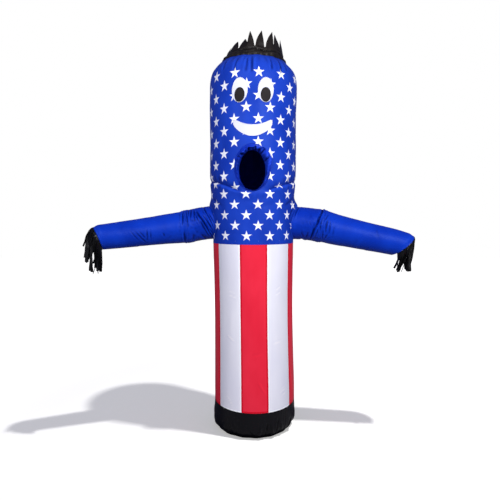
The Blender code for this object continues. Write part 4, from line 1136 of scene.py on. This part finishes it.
def smilePatch():
    along = np.sin(np.linspace(-1.0, 1.0, 90) * math.pi / 2)
    rows = np.linspace(0.0, 1.0, 16)[:, None]
    grid, _ = smileSpot(along, rows, sewnOn["thickness"])
    flat = np.stack(asArrays(along * smile["wide"], rows * smile["tall"]), axis=-1)
    piece = sheetPiece("smile", grid, finishes["eyeWhite"], {"cloth": flat}, thickness=sewnOn["thickness"])
    return standsFor(piece, "mouth", "white_cloth")


crownPiece = standsFor(crownCap(), "crown_cap", "blue_cloth")
hairPiece = standsFor(hairBand(), "hair_band", "black_cloth")
hoodPiece = standsFor(faceHood(), "face_hood", "blue_cloth")
facePieces = [facePatch(patch) for patch in patches] + [smilePatch()]
print("head made")


# The striped panels

stripes = {
    "front": math.radians(37.6), "side": math.radians(38.2), "sides": 2, "backs": 5,
    "columns": 22, "rows": 128, "round": 0.234,
    "pinch": 0.0014,          # how far the seams are drawn in
    "gathers": 0.0006,
    "slack": (((5.0, 5.0, 2.0), 21, 0.0014), ((16.0, 16.0, 7.0), 22, 0.0004)),
    "skirtSeam": 0.167, "skirtDip": 0.013,
}
stripeFolds = (
    # angle in degrees, height, direction, half length, half width, rise, bow
    (-38.0, 0.222, 150, 0.018, 0.0042, 0.0010, 0.0), (-36.0, 0.204, 156, 0.020, 0.0042, 0.0010, 0.0),
    (-34.0, 0.188, 158, 0.016, 0.0040, 0.0008, 0.0), (43.0, 0.282, 16, 0.018, 0.0045, 0.0010, 1.0),
    (42.0, 0.266, 12, 0.022, 0.0045, 0.0011, 1.0), (44.0, 0.246, 16, 0.018, 0.0045, 0.0009, 1.0),
    (-34.0, 0.570, 146, 0.030, 0.0050, 0.0009, 0.0), (34.0, 0.545, 8, 0.036, 0.0050, 0.0009, 0.5),
    (10.0, 0.300, 118, 0.040, 0.0050, 0.0008, 0.0), (4.0, 0.480, 10, 0.030, 0.0060, 0.0006, 0.0),
    (-32.0, 0.828, 172, 0.024, 0.0045, 0.0010, 2.0), (-31.0, 0.806, 168, 0.024, 0.0045, 0.0010, 2.0),
    (36.0, 0.850, 24, 0.016, 0.0040, 0.0009, 0.0), (36.0, 0.820, 18, 0.018, 0.0040, 0.0009, 0.0),
    (64.0, 0.300, 100, 0.080, 0.0110, 0.0012, 0.5), (-64.0, 0.330, 84, 0.080, 0.0120, 0.0012, -0.5),
    (70.0, 0.620, 92, 0.160, 0.0160, 0.0012, 0.0), (-70.0, 0.700, 88, 0.160, 0.0160, 0.0012, 0.0),
    (32.0, 0.560, 96, 0.140, 0.0200, 0.0008, 0.1), (-34.0, 0.600, 86, 0.140, 0.0200, 0.0008, -0.1),
    (6.0, 0.720, 90, 0.180, 0.0200, -0.0008, 0.0), (-10.0, 0.420, 84, 0.140, 0.0180, 0.0007, 0.0),
    (110.0, 0.320, 80, 0.090, 0.0120, 0.0022, 0.5), (150.0, 0.280, 100, 0.080, 0.0110, -0.0020, 0.5),
    (180.0, 0.340, 90, 0.100, 0.0130, 0.0020, 0.0), (215.0, 0.290, 84, 0.080, 0.0110, 0.0020, 0.5),
    (250.0, 0.340, 96, 0.090, 0.0120, -0.0020, 0.5), (130.0, 0.700, 88, 0.160, 0.0180, 0.0015, 0.0),
    (200.0, 0.740, 94, 0.160, 0.0180, 0.0015, 0.0), (240.0, 0.680, 90, 0.160, 0.0180, -0.0014, 0.0),
)


def stripeSeams():
    back = (2 * math.pi - stripes["front"] - 2 * stripes["sides"] * stripes["side"]) / stripes["backs"]
    widths = ([stripes["front"]] + [stripes["side"]] * stripes["sides"] + [back] * stripes["backs"]
              + [stripes["side"]] * stripes["sides"])
    return -stripes["front"] / 2 + np.concatenate(([0.0], np.cumsum(widths)))


seamAngles = stripeSeams()


def stripeCloth(angle, height):
    angle, height = asArrays(angle, height)
    radius, centreX = outlineAt(height)
    nearest = np.min(np.abs(unturned(angle[..., None] - seamAngles[:-1])), axis=-1) * stripes["round"]
    radius = radius - stripes["pinch"] * hump(nearest, 0.007)
    radius = radius + foldsAround(angle, height, stripeFolds, stripes["round"])
    above, below = height - skirtSeam(angle), tube["seam"] - height
    gathers = pleated(angle, 59, 2.0, 4) * (np.exp(-above / 0.012) + 0.7 * np.exp(-below / 0.010))
    points = roundPlaces(angle, radius + stripes["gathers"] * gathers, height, centreX)
    free = ease(above / 0.03) * ease(below / 0.03)
    return pushOut(points, angle, slackOf(points, stripes["slack"]) * free)


def skirtSeam(angle):
    return stripes["skirtSeam"] - stripes["skirtDip"] * np.cos(angle)


def stripePanels():
    edge = cloth["gap"] / 2 / stripes["round"]
    shares = np.linspace(0.0, 1.0, stripes["rows"] + 1)[:, None]
    made = []
    for index, (start, end) in enumerate(zip(seamAngles, seamAngles[1:])):
        colour, number = ("red", "white")[index % 2], index // 2 + 1
        angles = np.linspace(start + edge, end - edge, stripes["columns"] + 1)
        low, high = skirtSeam(angles) + cloth["gap"], tube["seam"] - cloth["gap"]
        height = low + (high - low) * shares
        turned = np.broadcast_to(angles, height.shape)
        fromSide = np.minimum(turned - start, end - turned) * stripes["round"]
        maps = {"cloth": np.stack((turned * stripes["round"], height), axis=-1),
                "margin": np.stack((fromSide, height - low), axis=-1)}
        piece = sheetPiece(f"{colour}Panel{number}", stripeCloth(turned, height), finishes[colour], maps)
        made.append(standsFor(piece, f"{colour}_panel_{number}", colour + "_cloth"))
    return made


panels = stripePanels()
print("panels made")


# The gathered skirt

skirt = {
    "rows": (
        # place down the skirt, height, radius, depth of the main folds, depth of the fine gathers
        (0.000, 0.1670, 0.2379, 0.0000, 0.0003), (0.055, 0.1150, 0.2405, 0.0014, 0.0004),
        (0.110, 0.0600, 0.2430, 0.0028, 0.0009), (0.138, 0.0340, 0.2380, 0.0045, 0.0018),
        (0.162, 0.0180, 0.2250, 0.0045, 0.0022), (0.178, 0.0100, 0.2125, 0.0035, 0.0012),
        (0.190, 0.0000, 0.2110, 0.0030, 0.0006),
    ),
    "gathers": 13, "level": 0.060, "columns": 276, "lines": 48, "round": 0.24,
    "slack": (((14.0, 14.0, 9.0), 31, 0.0030),),
    "casing": 0.0016,         # groove above the hem's casing
    "folds": (
        # angle in degrees, place down the skirt, direction, half length, half width, rise, bow
        (18.0, 0.112, 94, 0.042, 0.0060, -0.0072, 0.5), (26.0, 0.118, 84, 0.040, 0.0060, 0.0066, 0.5),
        (33.0, 0.105, 97, 0.048, 0.0060, -0.0072, 0.5), (42.0, 0.122, 70, 0.040, 0.0065, 0.0066, 0.8),
        (8.0, 0.128, 118, 0.030, 0.0065, 0.0062, 1.0), (-4.0, 0.135, 66, 0.026, 0.0065, -0.0056, 1.0),
        (-30.0, 0.125, 80, 0.034, 0.0080, 0.0044, 0.5), (-46.0, 0.128, 104, 0.036, 0.0080, 0.0048, 0.5),
        (-60.0, 0.125, 64, 0.036, 0.0060, 0.0045, 0.5), (60.0, 0.128, 118, 0.040, 0.0070, 0.0055, 0.8),
        (70.0, 0.110, 96, 0.040, 0.0070, -0.0040, 0.0), (84.0, 0.110, 84, 0.050, 0.0080, 0.0035, 0.5),
        (110.0, 0.100, 92, 0.050, 0.0090, 0.0040, 0.5), (140.0, 0.110, 86, 0.050, 0.0080, 0.0040, 0.5),
        (165.0, 0.100, 96, 0.050, 0.0080, -0.0036, 0.5), (190.0, 0.105, 84, 0.050, 0.0080, 0.0040, 0.5),
        (215.0, 0.100, 94, 0.050, 0.0080, 0.0040, 0.5), (240.0, 0.110, 86, 0.050, 0.0080, -0.0036, 0.5),
        (265.0, 0.100, 92, 0.050, 0.0080, 0.0040, 0.5),
    ),
}


def skirtCloth(angle, down):
    angle, down = asArrays(angle, down)
    height, radius, main, fine = readTable(skirt["rows"], down)
    height = np.maximum(height, 0.0)
    folds = pleated(angle, skirt["gathers"], 1.4, 2)
    radius = radius + main * (0.7 * folds + 0.3 * np.sin(5 * angle + 0.6) - 1.0)
    many = np.sin(71 * angle + 3.0 * np.sin(3 * angle) + 1.5 * np.sin(8 * angle))
    radius = radius + fine * many * (0.65 + 0.35 * np.sin(9 * angle + 0.4))
    radius = radius - skirt["casing"] * hump(down - 0.165, 0.0028)
    held = ease(down / 0.05) * ease((0.172 - down) / 0.03)
    radius = radius + held * foldsAround(angle, down, skirt["folds"], skirt["round"])
    top = skirt["rows"][0][1]
    dip = stripes["skirtDip"] * np.maximum(height - skirt["level"], 0.0) / (top - skirt["level"])
    centreX = float(outlineAt(top)[1]) * height / top
    points = roundPlaces(angle, radius, height - dip * np.cos(angle), centreX)
    return pushOut(points, angle, slackOf(points, skirt["slack"]) * held)


def hemSkirt():
    down = np.linspace(0.0, skirt["rows"][-1][0], skirt["lines"])[:, None]
    angles, closedAngles = bothRounds(skirt["columns"])
    flat = np.stack(asArrays(closedAngles * skirt["round"], down), axis=-1)
    return sheetPiece("hemSkirt", skirtCloth(angles, down), finishes["black"], {"cloth": flat}, wrap=True)


skirtPiece = standsFor(hemSkirt(), "hem_skirt", "black_cloth")
print("skirt made")


# The black ribbons of the hands

ribbon = {
    "count": {"left": 48, "right": 60},
    "halfWidths": (0.0064, 0.0068),     # below the root, and at the loose end
    "thickness": 0.0007,
    "insets": (0.0015, 0.0050),         # below the end of the sleeve, in turn
    "flutter": 0.012,
    "bend": 0.005, "throw": {"left": 0.024, "right": 0.000},
    # each clump: the roots it takes, up to this reach, and the reach and height of its tips
    "clumps": {
        "left": ((0.846, 0.844, 0.958), (0.854, 0.857, 0.972), (0.872, 0.874, 0.964), (1.000, 0.902, 1.010)),
        "right": ((0.874, 0.817, 0.930), (1.000, 0.872, 0.932)),
    },
    "front": {"left": -0.215, "right": -0.115},
    "uneven": {"left": 0.025, "right": 0.006},
    "spread": {"left": 0.010, "right": 0.012},
    "late": {"left": 0.2, "right": 0.75},                     # how far down they draw together
    "gather": 0.97, "twist": 1.3, "mixed": 0.003,
    # loose ones: which ribbon, and the reach and height of its tip
    "strays": {
        "left": {1: (0.912, 1.058), 8: (0.912, 0.985), 23: (0.886, 0.936), 29: (0.868, 0.950)},
        "right": {22: (0.790, 0.944), 56: (0.893, 0.975)},
    },
    "bare": {"left": (360, 360), "right": (142, 300)},
    "seed": 5,
}


def ribbonPath(name, arm, index, turn, inset, chance):
    # The middle of one ribbon: out over the end of the sleeve, then down, drawn towards a clump.
    axis = armFrame(arm, arm["wrist"])[1]
    rim = armSurface(arm, turn, wristReach(arm, turn, -inset), -inset)
    beside = armSurface(arm, turn + 0.05, wristReach(arm, turn + 0.05, -inset), -inset)
    tangent = unit(beside - rim)
    outward = unit(np.array((axis[0], axis[1], 0.0)))
    down = np.array((0.0, 0.0, -1.0))
    above = 0.5 + 0.5 * math.cos(turn)
    bend = (ribbon["bend"] + ribbon["throw"][name] * above) * chance.uniform(0.6, 1.0)
    start = rim + axis * 0.003
    root = abs(start[0]) + ribbon["mixed"] * chance.uniform(-1.0, 1.0)
    _, reach, tipHeight = next(row for row in ribbon["clumps"][name] if root < row[0])
    reach, tipHeight = ribbon["strays"][name].get(index, (reach, tipHeight))
    length = max(start[2] - tipHeight + 0.7 * bend, 0.05) + ribbon["uneven"][name] * chance.uniform(-1.0, 1.0)
    spread = ribbon["spread"][name] * chance.uniform(-1.0, 1.0)
    drift = ribbon["gather"] * (reach + spread - abs(start[0]) - 0.6 * bend) / length
    forward = ribbon["front"][name] + 3.0 * ribbon["spread"][name] * chance.uniform(-1.0, 1.0)
    sway = ribbon["gather"] * (forward - start[1]) / length
    facing = ribbon["twist"] * math.sin(5.0 * turn + 2.0) + chance.uniform(-0.5, 0.5)
    final = math.cos(facing) * outward + math.sin(facing) * np.array((0.0, -1.0, 0.0))
    if np.dot(final, tangent) < 0.0:
        final = -final
    marks = np.concatenate((np.linspace(0.0, 2.5 * bend, 7), np.linspace(2.5 * bend, length, 12)[1:]))
    rows, middle, travelled = [], start.copy(), 0.0
    for mark in marks:
        for _ in range(4):
            step = (mark - travelled) / 4 if mark > travelled else 0.0
            level = math.exp(-(travelled + step) / bend)
            drawn = 1.0 + ribbon["late"][name] * (2.0 * (travelled + step) / length - 1.0)
            hanging = down + (outward * drift + np.array((0.0, sway, 0.0))) * drawn
            heading = unit(axis * level + hanging * (1.0 - level))
            middle = middle + heading * step
            travelled += step
        share = travelled / length
        turned = float(ease(share / 0.45))
        across = tangent * (1.0 - turned) + final * turned
        across = unit(across - np.dot(across, heading) * heading)
        wide = np.interp(share, (0.0, 1.0), ribbon["halfWidths"])
        rows.append((middle - across * wide, across * wide * 2, share))
    return rows


class GrowthBench(NodeBench):
    # A Geometry Nodes tree: a mesh and named sizes in, and the grown mesh in its finish out.
    def __init__(self, name, sizes):
        super().__init__(bpy.data.node_groups.new(name, "GeometryNodeTree"))
        self.tree.interface.new_socket("Geometry", in_out="INPUT", socket_type="NodeSocketGeometry")
        self.sockets = {}
        for label, (kind, value) in dict(sizes, Finish=("Material", None)).items():
            socket = self.tree.interface.new_socket(label, in_out="INPUT", socket_type="NodeSocket" + kind)
            if value is not None:
                socket.default_value = value
            self.sockets[label] = socket.identifier
        self.tree.interface.new_socket("Geometry", in_out="OUTPUT", socket_type="NodeSocketGeometry")
        self.given = self.tree.nodes.new("NodeGroupInput").outputs

    def named(self, name, kind="FLOAT_VECTOR"):
        return self.add("GeometryNodeInputNamedAttribute", {"Name": name}, "Attribute", data_type=kind)

    def finish(self, grown):
        real = self.add("GeometryNodeRealizeInstances", {0: grown})
        dressed = self.add("GeometryNodeSetMaterial", {"Geometry": real, "Material": self.given["Finish"]})
        self.add("NodeGroupOutput", {0: dressed})
        return self


def ribbonGrowth():
    # Widens each line of points into a ribbon, and flutters it more towards its loose end.
    bench = GrowthBench("ribbonFringe", {
        "Width": ("Float", 1.0), "Flutter": ("Float", 0.006), "Seed": ("Float", 1.0)})
    place = bench.add("GeometryNodeInputPosition", {})
    cloudy = bench.add("ShaderNodeTexNoise", {
        "Vector": place, "W": bench.given["Seed"], "Scale": 26.0, "Detail": 1.0,
    }, "Color", noise_dimensions="4D")
    centred = bench.add("ShaderNodeVectorMath", {0: cloudy, 1: (0.5, 0.5, 0.5)}, operation="SUBTRACT")
    amount = bench.add("ShaderNodeMath", {0: bench.named("free", "FLOAT"), 1: bench.given["Flutter"]},
                       operation="MULTIPLY")
    swing = bench.add("ShaderNodeVectorMath", {0: centred, "Scale": amount}, operation="SCALE")
    moved = bench.add("GeometryNodeSetPosition", {"Geometry": bench.given["Geometry"], "Offset": swing})
    return bench.finish(bench.add("GeometryNodeExtrudeMesh", {
        "Mesh": moved, "Offset": bench.named("across"), "Offset Scale": bench.given["Width"],
    }, "Mesh", mode="EDGES"))


def linesPiece(name, lines, attributes):
    # An object of loose lines of points, each point with its own values.
    points, edges = [], []
    for line in lines:
        first = len(points)
        points += [tuple(row[0]) for row in line]
        edges += [(first + index, first + index + 1) for index in range(len(line) - 1)]
    mesh = bpy.data.meshes.new(name)
    mesh.from_pydata(points, edges, [])
    rows = [row for line in lines for row in line]
    for label, (kind, field, column) in attributes.items():
        values = np.array([row[column] for row in rows], dtype=np.float32).ravel()
        mesh.attributes.new(label, kind, "POINT").data.foreach_set(field, values)
    piece = bpy.data.objects.new(name, mesh)
    bpy.context.scene.collection.objects.link(piece)
    return piece


def grow(name, lines, attributes, bench, material, sizes):
    # A piece that a Geometry Nodes tree makes from lines of points.
    piece = linesPiece(name + "Lines", lines, attributes)
    modifier = piece.modifiers.new(bench.tree.name, "NODES")
    modifier.node_group = bench.tree
    for label, value in dict(sizes, Finish=material).items():
        modifier[bench.sockets[label]] = value
    return frozen(piece, name, material)


fringeGrowth = ribbonGrowth()


def handFringe(name, arm, seed):
    chance = np.random.default_rng(ribbon["seed"] + seed)
    lines = []
    low, high = ribbon["bare"][name]
    for index in range(ribbon["count"][name]):
        turn = 2 * math.pi * (index + chance.uniform(-0.35, 0.35)) / ribbon["count"][name]
        if low < math.degrees(turn) % 360 < high:
            continue
        lines.append(ribbonPath(name, arm, index, turn, ribbon["insets"][index % 2], chance))
    attributes = {"across": ("FLOAT_VECTOR", "vector", 1), "free": ("FLOAT", "value", 2)}
    piece = grow("handFringe" + name.title(), lines, attributes, fringeGrowth, finishes["ribbon"],
                 {"Width": 1.0, "Flutter": ribbon["flutter"], "Seed": float(seed)})
    layer = piece.data.uv_layers.new(name="cloth")
    places = np.empty(len(piece.data.vertices) * 3, dtype=np.float32)
    piece.data.vertices.foreach_get("co", places)
    corners = np.empty(len(piece.data.loops), dtype=np.int32)
    piece.data.loops.foreach_get("vertex_index", corners)
    places = places.reshape(-1, 3)[corners]
    layer.data.foreach_set("uv", np.stack((places[:, 0] + 0.6 * places[:, 1], places[:, 2]), axis=-1).ravel())
    name = piece.name
    piece.name = name + "Flat"
    thick = piece.modifiers.new("thickness", "SOLIDIFY")
    thick.thickness, thick.offset = ribbon["thickness"], 0.0
    return frozen(piece, name, finishes["ribbon"])


for seed, (name, arm) in enumerate(arms.items()):
    standsFor(handFringe(name, arm, seed + 1), "hand_fringe_" + name, "black_cloth")
print("ribbons made")


# Threads: running stitches along the seams, and close stitches round the sewn-on face

stitch = {
    "running": {"Size": (0.0032, 0.0008, 0.0006), "Pitch": 0.0048},
    "close": {"Size": (0.0011, 0.0042, 0.0010), "Pitch": 0.0013},
    "lift": 0.0003,
    # how far rows run from the edges of the cloth
    "tubeInsets": (0.004, 0.005), "openingInset": 0.005,
    "rootInset": 0.010, "sleeveInset": 0.006,
    "panelInsets": {"red": (0.0022,), "white": (0.0022, 0.0118)}, "panelEnd": 0.003, "panelFoot": 0.004,
    "skirtRows": (0.004, 0.165),
}


def stitchGrowth():
    # Sets a long bead every so far along each line, flat on the cloth.
    bench = GrowthBench("stitchRows", {"Pitch": ("Float", 0.004), "Size": ("Vector", (0.003, 0.001, 0.001))})
    curve = bench.add("GeometryNodeMeshToCurve", {"Mesh": bench.given["Geometry"]})
    even = bench.add("GeometryNodeResampleCurve", {"Curve": curve, "Length": bench.given["Pitch"]},
                     mode="LENGTH")
    tangent = bench.add("GeometryNodeInputTangent", {})
    turned = bench.add("FunctionNodeAlignRotationToVector", {"Vector": tangent}, axis="X")
    flat = bench.add("FunctionNodeAlignRotationToVector", {
        "Rotation": turned, "Vector": bench.named("facing")}, axis="Z", pivot_axis="X")
    bead = bench.add("GeometryNodeMeshIcoSphere", {"Radius": 0.5, "Subdivisions": 1}, "Mesh")
    return bench.finish(bench.add("GeometryNodeInstanceOnPoints", {
        "Points": even, "Instance": bead, "Rotation": flat, "Scale": bench.given["Size"]}))


rowGrowth = stitchGrowth()


def lineOf(points, outwards, closed=False):
    rows = list(zip(points, outwards))
    return rows + [rows[0]] if closed else rows


def along(surface, across, up, closed=False):
    # A line on a surface, as rows of place and outward direction.
    points, normal = lifted(surface, *asArrays(across, up), stitch["lift"])
    outward = np.sign(np.sum(normal * (points - points * ontoAxis), axis=-1, keepdims=True))
    return lineOf(points, normal * outward, closed)


def sleeveLine(arm, starts, offset, held):
    turns = roundAngles(240, closed=True)
    reach = starts(turns) + offset
    folds = arm["folds"] if np.mean(reach) < arm["elbow"] else arm["forearmFolds"]
    slack = sleeve["slack"] * (1.0 if folds is arm["folds"] else sleeve["forearmSlack"])
    points = armSurface(arm, turns, reach, stitch["lift"], folds, held, slack)
    return lineOf(points, unit(points - armFrame(arm, reach)[0]))


def stitchRows(name, colour, kind, lines):
    attributes = {"facing": ("FLOAT_VECTOR", "vector", 1)}
    piece = grow(name, lines, attributes, rowGrowth, threads[colour], stitch[kind])
    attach(piece, "root")
    colour + "_cloth"


def seamLines():
    ring = roundAngles(360)
    turns = roundAngles(240)
    wide = (opening["halfWidth"] + stitch["openingInset"]) * np.sin(turns) + opening["x"]
    level = opening["centre"] + (opening["halfHeight"] + stitch["openingInset"]) * np.cos(turns)
    radius, centreX = outlineAt(level)
    low, high = stitch["tubeInsets"]
    blue = [along(starCloth, ring, tube["seam"] + low, closed=True),
            along(starCloth, ring, topStation - high, closed=True),
            along(starCloth, np.arcsin((wide - centreX) / radius), level, closed=True)]
    inset = stitch["sleeveInset"]
    for arm in arms.values():
        blue.append(sleeveLine(arm, lambda turns: sleeveRoot(arm, turns), stitch["rootInset"], ease(0.2)))
        for offset in (-inset, inset):
            blue.append(sleeveLine(arm, lambda turns: arm["elbow"] + 0.0 * turns, offset, 1.0))
        blue.append(sleeveLine(arm, lambda turns: wristReach(arm, turns), -inset, ease(0.5)))
    found = {"blue": blue, "white": [], "red": []}
    for index, (start, end) in enumerate(zip(seamAngles, seamAngles[1:])):
        colour = ("red", "white")[index % 2]
        for inset in stitch["panelInsets"][colour]:
            for angle in (start + inset / stripes["round"], end - inset / stripes["round"]):
                low, high = float(skirtSeam(angle)) + stitch["panelEnd"], tube["seam"] - stitch["panelEnd"]
                found[colour].append(along(stripeCloth, angle, np.linspace(low, high, 200)))
        inside = np.linspace(start + 0.03, end - 0.03, 60)
        found[colour].append(along(stripeCloth, inside, skirtSeam(inside) + stitch["panelFoot"]))
    found["black"] = [along(skirtCloth, ring, down, closed=True) for down in stitch["skirtRows"]]
    return found


def borderLine(patch, inside=0.985):
    lift = sewnOn["thickness"] + stitch["lift"]
    return lineOf(*patchSpot(patch, roundAngles(200), inside, lift), closed=True)


def smileBorder(end=0.992, low=0.02, high=0.98):
    # Round the smile, just inside its edges.
    sweep = np.sin(np.linspace(-1.0, 1.0, 160) * math.pi / 2) * end
    sides = np.linspace(low, high, 24)
    across = np.concatenate((sweep, 0.0 * sides + end, sweep[::-1], 0.0 * sides - end))
    rows = np.concatenate((0.0 * sweep + low, sides, 0.0 * sweep + high, sides[::-1]))
    return lineOf(*smileSpot(across, rows, sewnOn["thickness"] + stitch["lift"]), closed=True)


for colour, lines in seamLines().items():
    stitchRows(colour + "Seams", colour, "running", lines)
stitchRows("whiteBorders", "white", "close", [borderLine(patch) for patch in patches[:2]] + [smileBorder()])
stitchRows("blackBorders", "black", "close", [borderLine(patch) for patch in patches[2:]])
print("stitches made")


# The area of each eye and pupil patch, worked out but not used

for (*_, width, tall, _, _, _), piece in zip(patches, facePieces):
    0.785 * width * tall


# Studio: a pale floor, soft light and the camera

studio = {
    "camera": (-0.0207, -2.85, 1.2563), "tilt": 4.14, "lens": 34.776,
    "lights": {
        # place, aim, size, power, whether it lights the floor alone or all but the floor
        "key": ((1.60, -3.05, 2.60), (0.0, 0.0, 1.85), 1.3, 114.0, "EXCLUDE"),
        "fill": ((-1.5, -3.1, 3.00), (0.0, 0.0, 1.8), 1.8, 80.0, "EXCLUDE"),
        "top": ((1.95, -0.90, 7.20), (0.0, 0.0, 0.0), 0.20, 380.0, "INCLUDE"),
    },
    "surround": 0.22, "tint": (0.54, 0.58, 1.0, 1.0),
    "floorGlow": 0.42, "floorReach": (1.3, 3.2),
}


def softLight(name, floor, place, aim, size, power, linked):
    data = bpy.data.lights.new(name, "AREA")
    data.size, data.energy = size, power
    light = bpy.data.objects.new(name, data)
    light.location = place
    light.rotation_euler = (Vector(aim) - Vector(place)).to_track_quat("-Z", "Y").to_euler()
    bpy.context.scene.collection.objects.link(light)
    # The top light lays the shadow on the floor, and the others light the piece.
    lit = bpy.data.collections.new(name + "Floor")
    lit.objects.link(floor)
    lit.collection_objects[0].light_linking.link_state = linked
    light.light_linking.receiver_collection = lit


def floorPiece():
    mesh = bpy.data.meshes.new("floor")
    mesh.from_pydata([(-9, -7, 0), (9, -7, 0), (9, 11, 0), (-9, 11, 0)], [], [(0, 1, 2, 3)])
    bench = FinishBench("paleFloor")
    place = bench.add("ShaderNodeTexCoord", {}, output=3)
    grain = bench.noise(place, 2.0)
    seen = bench.add("ShaderNodeLightPath", {}, output=0)
    pale = bench.mix(grain, (0.88, 0.87, 0.84, 1.0), (0.91, 0.90, 0.87, 1.0))
    # The floor brightens away from the piece, so that it ends in the white behind it.
    distance = bench.add("ShaderNodeVectorMath", {0: place}, output=1, operation="LENGTH")
    far = bench.within(distance, *studio["floorReach"])
    glow = bench.math("MULTIPLY_ADD", far, 1.0 - studio["floorGlow"], studio["floorGlow"])
    floor = addPiece("floor", mesh, bench.finish({
        "Base Color": bench.mix(seen, (0.34, 0.34, 0.34, 1.0), pale),
        "Roughness": 0.8, "Specular IOR Level": 0.1,
        "Emission Color": (1.0, 0.99, 0.93, 1.0), "Emission Strength": glow * seen}))
    return floor


def surround():
    # White where the camera looks past the piece, and a dim light on it from all round.
    world = bpy.data.worlds.new("studio")
    world.use_nodes = True
    bench = NodeBench(world.node_tree)
    seen = bench.add("ShaderNodeLightPath", {}, "Is Camera Ray")
    dim = bench.add("ShaderNodeBackground", {"Color": studio["tint"], "Strength": studio["surround"]})
    white = bench.add("ShaderNodeBackground", {"Color": (1.0, 1.0, 1.0, 1.0), "Strength": 1.0})
    mixed = bench.add("ShaderNodeMixShader", {0: seen, 1: dim, 2: white})
    bench.feed(world.node_tree.nodes["World Output"], {"Surface": mixed})
    bpy.context.scene.world = world


camera = bpy.data.objects.new("camera", bpy.data.cameras.new("camera"))
camera.location = studio["camera"]
camera.rotation_euler = (math.radians(90 - studio["tilt"]), 0.0, 0.0)
camera.data.lens, camera.data.sensor_width = studio["lens"], 36.0
bpy.context.scene.collection.objects.link(camera)
bpy.context.scene.camera = camera
floor = floorPiece()
surround()
for name, values in studio["lights"].items():
    softLight(name + "Light", floor, *values)
bpy.context.scene.view_settings.view_transform = "Standard"
print("studio made")
